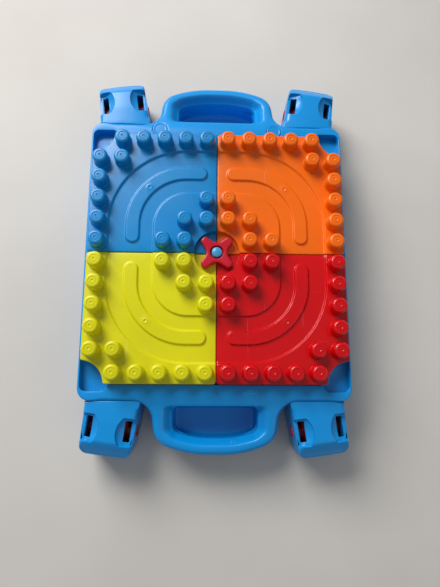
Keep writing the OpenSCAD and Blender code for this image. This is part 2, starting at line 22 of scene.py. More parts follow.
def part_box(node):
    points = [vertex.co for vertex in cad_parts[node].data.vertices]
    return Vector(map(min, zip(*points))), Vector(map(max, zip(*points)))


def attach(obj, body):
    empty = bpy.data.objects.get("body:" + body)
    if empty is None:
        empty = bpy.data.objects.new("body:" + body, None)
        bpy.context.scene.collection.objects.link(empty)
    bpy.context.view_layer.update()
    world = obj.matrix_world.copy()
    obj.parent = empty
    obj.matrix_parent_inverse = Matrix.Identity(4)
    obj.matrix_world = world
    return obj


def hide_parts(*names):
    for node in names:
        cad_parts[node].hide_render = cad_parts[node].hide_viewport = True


MM = 0.001
Array = np.ndarray
Height = Callable[[Array, Array], Array]
log = logging.getLogger("play_table")
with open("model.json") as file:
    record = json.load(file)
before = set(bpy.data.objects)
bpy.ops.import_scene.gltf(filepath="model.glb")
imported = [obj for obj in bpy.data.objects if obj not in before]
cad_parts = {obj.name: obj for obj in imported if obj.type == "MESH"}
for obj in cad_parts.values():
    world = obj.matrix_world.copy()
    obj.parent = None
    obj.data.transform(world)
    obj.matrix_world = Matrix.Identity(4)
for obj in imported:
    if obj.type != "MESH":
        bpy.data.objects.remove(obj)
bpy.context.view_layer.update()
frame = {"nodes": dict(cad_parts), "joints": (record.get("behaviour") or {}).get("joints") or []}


# ---- plan curves ---------------------------------------------------------------------------------


def smooth(t: Array) -> Array:
    """Smooth step: 0 below 0, 1 above 1, and 3t^2 - 2t^3 in between."""
    t = np.clip(t, 0.0, 1.0)
    return t * t * (3 - 2 * t)


def arc(centre: tuple[float, float], radius: float, start: float, stop: float, steps: int = 12) -> Array:
    """Points of a circular arc: centre + radius (cos a, sin a), for a in even steps.

    Args:
        centre: Middle of the circle.
        radius: Radius of the circle.
        start: First angle in degrees.
        stop: Last angle in degrees.
        steps: Number of steps.

    Returns:
        The points, (steps + 1, 2).
    """
    a = np.radians(np.linspace(start, stop, steps + 1))
    return np.array(centre) + radius * np.column_stack([np.cos(a), np.sin(a)])


def rounded(corners: Sequence[tuple[float, float, float]], steps: int = 8) -> Array:
    """Closed outline through corners, each rounded by the circle that touches both of its sides.

    With unit vectors u and w from a corner to its neighbours and h half the angle between them, the
    circle's middle is radius / sin h along u + w, and it touches the sides radius / tan h away.

    Args:
        corners: (x, y, radius) of each corner, counter-clockwise.
        steps: Steps of each arc.

    Returns:
        The points, (corners * (steps + 1), 2).
    """
    table = np.array(corners, float)
    p, r = table[:, :2], table[:, 2:]
    u, w = (v / np.linalg.norm(v, axis=1, keepdims=True)
            for v in (np.roll(p, 1, 0) - p, np.roll(p, -1, 0) - p))
    half = np.arccos(np.clip((u * w).sum(1, keepdims=True), -1, 1)) / 2
    middle = p + (u + w) / np.linalg.norm(u + w, axis=1, keepdims=True) * r / np.sin(half)
    spokes = [p + side * r / np.tan(half) - middle for side in (u, w)]
    start, stop = (np.arctan2(s[:, 1], s[:, 0]) for s in spokes)
    turn = (stop - start + np.pi) % (2 * np.pi) - np.pi
    a = start[:, None] + turn[:, None] * np.linspace(0, 1, steps + 1)
    ring = middle[:, None] + r[:, None] * np.stack([np.cos(a), np.sin(a)], -1)
    return ring.reshape(-1, 2)


def side_counts(path: Array, longest: float) -> Array:
    """How many parts each side of a closed path is cut into, so that none is longer than longest."""
    sides = np.linalg.norm(np.roll(path, -1, 0) - path, axis=1)
    return np.maximum(1, np.ceil(sides / longest)).astype(int)


def cut_sides(path: Array, counts: Array) -> Array:
    """Closed path with each side cut into a number of equal parts.

    Args:
        path: The points.
        counts: Number of parts of each side.

    Returns:
        The points of the finer path.
    """
    side = np.repeat(np.arange(len(path)), counts)
    t = (np.arange(counts.sum()) - np.repeat(np.cumsum(counts) - counts, counts)) / counts[side]
    return path[side] + (np.roll(path, -1, 0) - path)[side] * t[:, None]


def fine(path: Array, longest: float) -> Array:
    """Closed path without doubled points, cut so that no side is longer than longest."""
    path = path[np.linalg.norm(np.roll(path, -1, 0) - path, axis=1) > 1e-6]
    return cut_sides(path, side_counts(path, longest))


def moved_in(path: Array, distance: Union[float, Array]) -> Array:
    """Counter-clockwise closed path moved inwards, each point along the mitre of its two sides.

    A point moves by distance (m + n) / (1 + m.n), where m and n are the inward normals of its sides.

    Args:
        path: The points.
        distance: How far, one number or one for each point. Negative moves outwards.

    Returns:
        The moved points.
    """
    side = np.roll(path, -1, 0) - path
    n = (np.column_stack([-side[:, 1], side[:, 0]])
         / np.maximum(np.linalg.norm(side, axis=1, keepdims=True), 1e-9))
    m = np.roll(n, 1, 0)
    mitre = (m + n) / np.maximum(1 + (m * n).sum(1, keepdims=True), 0.4)
    return path + mitre * np.broadcast_to(distance, len(path))[:, None]


def inside(points: Array, loop: Array) -> Array:
    """Whether each point is in a closed loop: a ray along +X crosses the loop an odd number of times.

    Args:
        points: (n, 2) points.
        loop: Outline of the loop.

    Returns:
        A flag for each point.
    """
    a, b = loop[None], np.roll(loop, -1, 0)[None]
    x, y = points[:, :1], points[:, 1:]
    spans = (a[..., 1] > y) != (b[..., 1] > y)
    rise = np.where(spans, b[..., 1] - a[..., 1], 1.0)
    cross = a[..., 0] + (y - a[..., 1]) * (b[..., 0] - a[..., 0]) / rise
    return (spans & (x < cross)).sum(1) % 2 == 1


def distance_to(points: Array, path: Array, closed: bool = True) -> Array:
    """Distance from each point to a path: the least over its sides of the distance to that side.

    Args:
        points: (n, 2) points.
        path: The path.
        closed: Whether its end joins its start.

    Returns:
        The distances.
    """
    a = path if closed else path[:-1]
    d = (np.roll(path, -1, 0) - path)[: len(a)]
    reach = points[:, None] - a[None]
    t = np.clip((reach * d).sum(-1) / np.maximum((d * d).sum(-1), 1e-12), 0, 1)
    return np.linalg.norm(reach - t[..., None] * d, axis=-1).min(1)


# ---- surfaces ------------------------------------------------------------------------------------


def patch(outer: Array, holes: Sequence[Array], lines: Sequence[Array], spacing: float) -> tuple[Array, list]:
    """Triangles that fill a flat region and follow feature lines inside it.

    Args:
        outer: Outline of the region.
        holes: Outlines of its holes.
        lines: Open paths that triangle sides have to follow. Parts outside the region are dropped.
        spacing: Spacing of the free points in a three-way grid, or 0 for none.

    Returns:
        The points (N, 2), and the triangles as lists of three indices.
    """
    loops = [outer, *holes]
    ring = np.concatenate(loops)
    ends = np.cumsum([len(p) for p in loops])
    edges = [np.column_stack([np.arange(e - len(p), e), np.r_[e - len(p) + 1 : e, e - len(p)]])
             for p, e in zip(loops, ends)]

    def clear(points: Array, room: float) -> Array:
        """Whether each point is in the region, and at least room from its edge.

        Args:
            points: (n, 2) points.
            room: Least distance from the edge.

        Returns:
            A flag for each point.
        """
        kept = inside(points, outer)
        for loop in loops:
            kept &= distance_to(points, loop) > room
        for hole in holes:
            kept &= ~inside(points, hole)
        return kept

    count, extra = len(ring), []
    for line in lines:
        kept = clear(line, 0.3)
        places = count + np.cumsum(kept) - 1
        run = kept[:-1] & kept[1:]
        edges.append(np.column_stack([places[:-1][run], places[1:][run]]))
        extra.append(line[kept])
        count += int(kept.sum())
    known = np.concatenate([ring, *extra])
    if spacing:
        low, high = outer.min(0), outer.max(0)
        x, y = np.meshgrid(np.arange(low[0], high[0], spacing), np.arange(low[1], high[1], spacing * 0.866))
        x = x + spacing / 2 * (np.arange(len(x)) % 2)[:, None]
        grid = np.column_stack([x.ravel(), y.ravel()])
        grid = grid[clear(grid, spacing * 0.5)]
        if extra and len(grid):
            far = [np.linalg.norm(grid[:, None] - e[None], axis=-1).min(1) > spacing * 0.5
                   for e in extra if len(e)]
            grid = grid[np.logical_and.reduce(far)]
        known = np.concatenate([known, grid])
    made = delaunay_2d_cdt(known.tolist(), np.concatenate(edges).tolist(), [], 1, 1e-5)
    points, faces = np.array([tuple(v) for v in made[0]]), np.array(made[2])
    middle = points[faces].mean(1)
    kept = inside(middle, outer)
    for hole in holes:
        kept &= ~inside(middle, hole)
    return points, faces[kept].tolist()


class Surface:
    """Patches and sheets that together make one closed skin, in millimetres."""

    def __init__(self) -> None:
        """Starts with no faces."""
        self.points: list[Array] = []
        self.faces: list[list[int]] = []
        self.count = 0

    def add(self, points: Array, faces: list) -> None:
        """Adds faces over their own points.

        Args:
            points: (n, 3) points.
            faces: Faces as lists of places in points.
        """
        self.faces += (np.array(faces) + self.count).tolist() if len(faces) else []
        self.points.append(np.asarray(points, float))
        self.count += len(points)

    def sheet(self, rows: Array, closed: bool = True) -> None:
        """Adds a grid of four-sided faces between rows of points.

        Args:
            rows: (rows, columns, 3) points.
            closed: Whether the last column joins the first.
        """
        high, wide = rows.shape[:2]
        i = np.arange(high * wide).reshape(high, wide)
        j = np.roll(i, -1, 1)
        span = slice(None) if closed else slice(0, wide - 1)
        quads = np.stack([i[:-1, span], j[:-1, span], j[1:, span], i[1:, span]], -1)
        self.add(rows.reshape(-1, 3), quads.reshape(-1, 4).tolist())

    def fill(self, outer: Array, height: Height, holes: Sequence[Array] = (), lines: Sequence[Array] = (),
             spacing: float = 0.0) -> None:
        """Adds a filled region whose height is a function of its plan."""
        points, faces = patch(outer, holes, lines, spacing)
        self.add(np.column_stack([points, height(points[:, 0], points[:, 1])]), faces)

    def revolve(self, profile: Array, centres: Array, steps: int = 28) -> None:
        """Adds a turned shape at each centre: (r cos a, r sin a, z) for each (r, z) of the profile.

        Args:
            profile: (r, z) points from one end on the axis to the other.
            centres: (n, 3) places.
            steps: Steps round the axis.
        """
        a = np.linspace(0, 2 * np.pi, steps, endpoint=False)
        ring = np.stack([profile[:, :1] * np.cos(a), profile[:, :1] * np.sin(a),
                         np.repeat(profile[:, 1:], steps, 1)], -1)
        for centre in np.atleast_2d(centres):
            self.sheet(ring + centre)

    def place(self, move: Callable[[Array], Array]) -> None:
        """Moves every point by a function of an (n, 3) array."""
        self.points = [move(p) for p in self.points]

    def build(self, name: str, sharp: float = 38.0) -> bpy.types.Object:
        """Makes the mesh object: doubles merged, faces outwards, smooth but for sharp edges.

        Args:
            name: Name of the piece.
            sharp: Edges that turn by more than this, in degrees, stay sharp.

        Returns:
            The object, which stands at the origin.
        """
        mesh = bpy.data.meshes.new(name)
        mesh.from_pydata((np.concatenate(self.points) * MM).tolist(), [], self.faces)
        work = bmesh.new()
        work.from_mesh(mesh)
        bmesh.ops.remove_doubles(work, verts=work.verts, dist=3e-6)
        bmesh.ops.dissolve_degenerate(work, dist=1e-7, edges=work.edges)
        bmesh.ops.recalc_face_normals(work, faces=work.faces)
        work.to_mesh(mesh)
        work.free()
        mesh.shade_smooth()
        mesh.set_sharp_from_angle(angle=math.radians(sharp))
        piece = bpy.data.objects.new(name, mesh)
        bpy.context.scene.collection.objects.link(piece)
        return piece


@dataclass
class Well:
    """A sunk place or a hole in a plan solid.

    Its wall goes from the rounded rim down to a floor, or through the solid where floor is None.
    """

    outline: Array
    lip: Union[float, Array] = 1.0
    floor: Union[float, None] = None
    fillet: float = 0.0
    rim: Union[Array, None] = None
    wall_in: float = 0.0


@dataclass
class PlanSolid:
    """A moulded solid over an outline: a top that is a height function, a rounded edge and a wall.

    The edge is a quarter circle: at angle a it stands in by radius (1 - sin a) and lies
    radius (1 - cos a) below the top.
    """

    outline: Array
    top: Height
    lip: Union[float, Array]
    base: Height
    wells: Sequence[Well] = ()
    lines: Sequence[Array] = ()
    spacing: float = 0.0
    foot: float = 0.0
    lean: Union[Array, None] = None

    def edge_rows(self, path: Array, radius: Union[float, Array], way: float, steps: int = 5) -> Array:
        """Rows of the rounded edge along a path, from the top surface to the wall.

        Args:
            path: The wall's outline.
            radius: Rounding, one number or one for each point.
            way: 1 where the solid is inside the outline, -1 where it is outside.
            steps: Steps of the quarter circle.

        Returns:
            (steps + 1, points, 3) rows.
        """
        a = np.linspace(0, np.pi / 2, steps + 1)[:, None]
        radius = np.broadcast_to(radius, len(path))
        begin = moved_in(path, way * radius)
        level = self.top(begin[:, 0], begin[:, 1])
        plan = np.stack([moved_in(path, way * radius * (1 - math.sin(k))) for k in a[:, 0]])
        return np.concatenate([plan, (level - radius * (1 - np.cos(a)))[..., None]], -1)

    def well_rows(self, well: Well) -> Array:
        """Rows of a well from its rim to its floor, with the fillet above the floor.

        Args:
            well: The well.

        Returns:
            (rows, points, 3) rows.
        """
        if well.rim is None:
            rows = self.edge_rows(well.outline, well.lip, -1.0)
        else:
            rows = well.rim
        if well.floor is None:
            z = self.base(well.outline[:, 0], well.outline[:, 1])
            last = np.column_stack([well.outline, z])[None]
            return np.concatenate([rows, last])
        a = np.linspace(0, np.pi / 2, 5 if well.fillet else 1)
        down = [np.column_stack([moved_in(well.outline, well.wall_in + well.fillet * (1 - math.cos(k))),
                                 np.full(len(well.outline), well.floor + well.fillet * (1 - math.sin(k)))])
                for k in a]
        return np.concatenate([rows, np.stack(down)])

    def skin(self, surface: Surface) -> None:
        """Adds the whole closed skin to a surface.

        Args:
            surface: The surface that takes the faces.
        """
        edge = self.edge_rows(self.outline, self.lip, 1.0)
        low = self.base(self.outline[:, 0], self.outline[:, 1])
        edge[..., 2] = np.maximum(edge[..., 2], low + 0.3)
        lean = np.zeros(len(low)) if self.lean is None else self.lean
        a = np.linspace(0, np.pi / 2, 4 if self.foot else 1)
        foot = [np.column_stack([moved_in(self.outline, lean + self.foot * (1 - math.cos(k))),
                                 low + self.foot * (1 - math.sin(k))]) for k in a]
        rows = np.concatenate([edge, np.stack(foot)])
        surface.sheet(rows)
        wells = [self.well_rows(well) for well in self.wells]
        for grid in wells:
            surface.sheet(grid)
        surface.fill(rows[0, :, :2], self.top, [grid[0, :, :2] for grid in wells], self.lines, self.spacing)
        through = []
        for well, grid in zip(self.wells, wells):
            if well.floor is None:
                through.append(grid[-1, :, :2])
            else:
                level = well.floor
                surface.fill(grid[-1, :, :2], lambda x, y, z=level: np.full_like(x, z))
        surface.fill(rows[-1, :, :2], self.base, through)


def level(z: float) -> Height:
    """A flat height function."""
    return lambda x, y: np.full_like(x, z, dtype=float)


# ---- the frame's sizes ---------------------------------------------------------------------------


class Corner(Enum):
    """A corner of the table, by the signs of its X and Y."""

    NW = (-1, 1)
    NE = (1, 1)
    SW = (-1, -1)
    SE = (1, -1)

    @property
    def tag(self) -> str:
        """The corner's name in the CAD."""
        return self.name.lower()

    def put(self, points: Array) -> Array:
        """Points made for the corner with +X and +Y, in this corner."""
        return points * np.array([*self.value, 1.0])


def node_box(name: str) -> tuple[Array, Array]:
    """Lowest and highest corner of a CAD node, in millimetres."""
    low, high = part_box(name)
    return np.array(low) / MM, np.array(high) / MM


def joint_of(name: str) -> dict:
    """The frame's joint of that name."""
    return next(j for j in frame["joints"] if j["name"] == name)


@dataclass(frozen=True)
class Plan:
    """Driving sizes of the table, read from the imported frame."""

    gap: float
    side: float
    tile_top: float
    seat: float
    rim: float
    body_x: float
    body_y: float
    handle_y: float
    stud_high: float = 20.0
    split: float = 40.0
    studs_side: int = 6

    @classmethod
    def from_frame(cls) -> "Plan":
        """Reads the boxes of a tile, the top shell and a knuckle.

        Returns:
            The sizes.
        """
        tile_low, tile_high = node_box("tile_ne")
        shell_high = node_box("top_shell")[1]
        gap = float(tile_low[0])
        return cls(
            gap=gap,
            side=float(tile_high[0]) + gap,
            tile_top=float(tile_high[2]) - cls.stud_high,
            seat=float(tile_low[2]),
            rim=float(shell_high[2]),
            body_x=float(shell_high[0]),
            body_y=float(node_box("knuckle_ne")[0][1]),
            handle_y=float(shell_high[1]),
        )

    @property
    def pitch(self) -> float:
        """Spacing of the studs."""
        return self.side / self.studs_side


# ---- finishes ------------------------------------------------------------------------------------


class Value:
    """A shader value with arithmetic: each operator adds one Math node."""

    def __init__(self, nodes: "Nodes", socket: bpy.types.NodeSocket) -> None:
        """Wraps an output socket of a node tree."""
        self.nodes, self.socket = nodes, socket

    def _math(self, operation: str, first: object, second: object, clamp: bool = False) -> "Value":
        """One Math node on two values or numbers."""
        made = self.nodes.add("ShaderNodeMath", {"operation": operation, "use_clamp": clamp},
                              {0: first, 1: second})
        return Value(self.nodes, made.outputs[0])

    def __add__(self, other: object) -> "Value":
        """self + other."""
        return self._math("ADD", self, other)

    def __radd__(self, other: object) -> "Value":
        """other + self."""
        return self._math("ADD", other, self)

    def __sub__(self, other: object) -> "Value":
        """self - other."""
        return self._math("SUBTRACT", self, other)

    def __rsub__(self, other: object) -> "Value":
        """other - self."""
        return self._math("SUBTRACT", other, self)

    def __mul__(self, other: object) -> "Value":
        """self * other."""
        return self._math("MULTIPLY", self, other)

    def __rmul__(self, other: object) -> "Value":
        """other * self."""
        return self._math("MULTIPLY", other, self)

    def band(self, low: float, high: float) -> "Value":
        """(self - low) / (high - low), held between 0 and 1."""
        return self._math("DIVIDE", self - low, high - low, clamp=True)


class Nodes:
    """The node tree of one material, and its Principled shader."""

    def __init__(self, name: str) -> None:
        """Makes the material with an empty tree and a Principled shader.

        Args:
            name: Name of the material.
        """
        self.material = bpy.data.materials.new(name)
        self.material.use_nodes = True
        self.tree = self.material.node_tree
        self.tree.nodes.clear()
        self.shader = self.add("ShaderNodeBsdfPrincipled")
        self.add("ShaderNodeOutputMaterial", {}, {"Surface": self.shader.outputs[0]})
        self.place = self.add("ShaderNodeTexCoord").outputs["Object"]

    def add(self, kind: str, settings: Union[dict, None] = None,
            sockets: Union[dict, None] = None) -> bpy.types.Node:
        """Adds a node.

        Args:
            kind: The node's type.
            settings: Properties, set before the sockets.
            sockets: Input name or index to a number, colour, Value or socket.

        Returns:
            The node.
        """
        node = self.tree.nodes.new(kind)
        for key, value in (settings or {}).items():
            setattr(node, key, value)
        for key, value in (sockets or {}).items():
            if isinstance(value, Value):
                value = value.socket
            if isinstance(value, bpy.types.NodeSocket):
                self.tree.links.new(value, node.inputs[key])
            else:
                node.inputs[key].default_value = value
        return node

    def noise(self, scale: float, detail: float = 3.0, stretch: tuple = (1, 1, 1),
              turn: float = 0.0) -> Value:
        """Noise over Object coordinates, from 0 to 1.

        Args:
            scale: Features to the metre.
            detail: Octaves.
            stretch: Scale along each axis, for streaks.
            turn: Turn about Z in radians before the stretch.

        Returns:
            The value.
        """
        at = self.add("ShaderNodeMapping", {}, {"Vector": self.place, "Scale": stretch,
                                                "Rotation": (0.0, 0.0, turn)}).outputs[0]
        made = self.add("ShaderNodeTexNoise", {}, {"Vector": at, "Scale": scale, "Detail": detail})
        return Value(self, made.outputs["Fac"])

    def blend(self, factor: Value, first: tuple, second: object) -> bpy.types.NodeSocket:
        """Colour that goes from first to second as factor goes from 0 to 1."""
        made = self.add("ShaderNodeMix", {"data_type": "RGBA"}, {0: factor, 6: first, 7: second})
        return made.outputs[2]


def linear(red: float, green: float, blue: float, alpha: float = 1.0) -> tuple[float, float, float, float]:
    """Linear colour of a display colour given from 0 to 255.

    Args:
        red: Red.
        green: Green.
        blue: Blue.
        alpha: Opacity from 0 to 1.

    Returns:
        The colour, from 0 to 1.
    """
    c = np.array([red, green, blue]) / 255
    c = np.where(c <= 0.04045, c / 12.92, ((c + 0.055) / 1.055) ** 2.4)
    return (*(float(v) for v in c), alpha)


@dataclass(frozen=True)
class Plastic:
    """Glossy moulded plastic: faint mottling, handling smudges, fine scuffs and a fine moulded grain."""

    name: str
    colour: tuple[int, int, int]
    gloss: float = 0.3
    wear: float = 1.0

    def material(self) -> bpy.types.Material:
        """Builds the material.

        Returns:
            The material.
        """
        n = Nodes(self.name)
        base = linear(*self.colour)
        pale = tuple(min(1.0, c * 0.86 + 0.10) for c in base[:3]) + (1.0,)
        deep = tuple(c * 0.86 for c in base[:3]) + (1.0,)
        mottle = n.noise(7.0, 4.0)
        smudge = n.noise(24.0, 6.0)
        grain = n.noise(1500.0, 2.0)
        scratch = n.noise(210.0, 3.0, (1.0, 0.05, 0.3), 0.5).band(0.66, 0.72)
        scrape = n.noise(260.0, 3.0, (0.05, 1.0, 0.3), -0.35).band(0.68, 0.74)
        patchy = n.noise(11.0, 2.0).band(0.5, 0.7)
        scuff = (scratch + scrape) * patchy * self.wear
        dust = n.noise(900.0, 2.0).band(0.62, 0.78) * smudge.band(0.45, 0.8)
        tint = n.blend(mottle.band(0.35, 0.75), base, deep)
        tint = n.blend(scuff * 0.35 + dust * 0.16, tint, pale)
        rough = self.gloss + (smudge - 0.5) * 0.16 + scuff * 0.2 + dust * 0.1
        bump = n.add("ShaderNodeBump", {}, {"Strength": 0.35, "Distance": 0.00025,
                                            "Height": grain * 0.35 + mottle * 1.5 - scuff * 0.6})
        for key, value in (("Base Color", tint), ("Normal", bump.outputs[0]), ("Roughness", rough.socket)):
            n.tree.links.new(value, n.shader.inputs[key])
        n.shader.inputs["IOR"].default_value = 1.46
        return n.material


@dataclass(frozen=True)
class Rubber:
    """Dull dark rubber with a pitted grain."""

    name: str
    colour: tuple[int, int, int]

    def material(self) -> bpy.types.Material:
        """Builds the material.

        Returns:
            The material.
        """
        n = Nodes(self.name)
        base = linear(*self.colour)
        pits = n.noise(700.0, 4.0)
        tint = n.blend(n.noise(40.0, 3.0).band(0.4, 0.7), base, tuple(c * 1.7 for c in base[:3]) + (1.0,))
        bump = n.add("ShaderNodeBump", {}, {"Strength": 0.5, "Distance": 0.0004, "Height": pits})
        rough = 0.72 + pits * 0.18
        for key, value in (("Base Color", tint), ("Normal", bump.outputs[0]), ("Roughness", rough.socket)):
            n.tree.links.new(value, n.shader.inputs[key])
        return n.material


@dataclass(frozen=True)
class Steel:
    """Zinc-plated steel with drawn lines and a few dull spots."""

    name: str
    colour: tuple[int, int, int]

    def material(self) -> bpy.types.Material:
        """Builds the material.

        Returns:
            The material.
        """
        n = Nodes(self.name)
        lines = n.noise(900.0, 3.0, (1.0, 1.0, 0.08))
        spots = n.noise(260.0, 3.0).band(0.5, 0.75)
        base = linear(*self.colour)
        tint = n.blend(spots * 0.5, base, tuple(c * 0.55 for c in base[:3]) + (1.0,))
        rough = 0.28 + lines * 0.15 + spots * 0.2
        bump = n.add("ShaderNodeBump", {}, {"Strength": 0.3, "Distance": 0.0001, "Height": lines})
        for key, value in (("Base Color", tint), ("Normal", bump.outputs[0]), ("Roughness", rough.socket)):
            n.tree.links.new(value, n.shader.inputs[key])
        n.shader.inputs["Metallic"].default_value = 1.0
        return n.material


class Finish(Enum):
    """The table's finishes, each named as its material slot in the record."""

    body_blue = Plastic("body_blue_plastic", (6, 143, 216))
    tile_blue = Plastic("tile_blue_plastic", (4, 130, 194))
    tile_orange = Plastic("tile_orange_plastic", (240, 106, 0))
    tile_yellow = Plastic("tile_yellow_plastic", (214, 208, 0))
    tile_red = Plastic("tile_red_plastic", (206, 2, 10), gloss=0.22)
    knob_crimson = Plastic("knob_crimson_plastic", (190, 10, 38))
    cap_blue = Plastic("cap_blue_plastic", (66, 150, 196), wear=0.5)
    # leg red is darker than the pin and tile reds: painted shade, set from the legs as they look in shade
    # beside the knuckles
    leg_red = Plastic("leg_red_plastic", (150, 4, 12))
    pin_red = Plastic("pin_red_plastic", (176, 8, 14), gloss=0.35)
    pad_rubber = Rubber("pad_rubber", (46, 46, 50))
    steel = Steel("plated_steel", (188, 190, 194))


class Paintbox:
    """Makes each finish's material once, and dresses pieces with it."""

    def __init__(self) -> None:
        """Starts with no materials made."""
        self.made: dict[Finish, bpy.types.Material] = {}

    def coat(self, piece: bpy.types.Object, finish: Finish) -> bpy.types.Object:
        """Gives every face of a piece one finish.

        Args:
            piece: The piece.
            finish: Its finish.

        Returns:
            The piece.
        """
        if finish not in self.made:
            self.made[finish] = finish.value.material()
        piece.data.materials.clear()
        piece.data.materials.append(self.made[finish])
        return piece

    def hand_in(self, piece: bpy.types.Object, finish: Finish, body: str, *nodes: str) -> bpy.types.Object:
        """Dresses a new piece, ties it to its body and puts it in place of CAD nodes.

        Args:
            piece: The piece.
            finish: Its finish.
            body: Body that it moves with.
            nodes: CAD nodes that it replaces.

        Returns:
            The piece.
        """
        self.coat(piece, finish)
        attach(piece, body)
        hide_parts(*nodes)
        log.info("%s: %d faces, on %s, for %s", piece.name, len(piece.data.polygons), body, ", ".join(nodes))
        return piece


def eased_copy(node: str, width: float, name: str, turn: float = 35.0) -> bpy.types.Object:
    """A merged copy of a CAD node with its sharp edges rounded by a Bevel modifier.

    Args:
        node: The CAD node.
        width: Width of the rounding.
        name: Name of the piece.
        turn: Edges that turn by more than this, in degrees, are rounded.

    Returns:
        The object, which stands at the origin.
    """
    mesh = frame["nodes"][node].data.copy()
    mesh.name = name
    work = bmesh.new()
    work.from_mesh(mesh)
    bmesh.ops.remove_doubles(work, verts=work.verts, dist=5e-6)
    bmesh.ops.dissolve_limit(work, angle_limit=math.radians(1.0), verts=work.verts, edges=work.edges)
    work.to_mesh(mesh)
    work.free()
    mesh.shade_smooth()
    piece = bpy.data.objects.new(name, mesh)
    bpy.context.scene.collection.objects.link(piece)
    bevel = piece.modifiers.new("eased_edges", "BEVEL")
    bevel.width = width * MM
    bevel.segments = 2
    bevel.limit_method = "ANGLE"
    bevel.angle_limit = math.radians(turn)
    bevel.use_clamp_overlap = True
    even = piece.modifiers.new("even_faces", "WEIGHTED_NORMAL")
    even.keep_sharp = True
    return piece


# ---- tiles ---------------------------------------------------------------------------------------


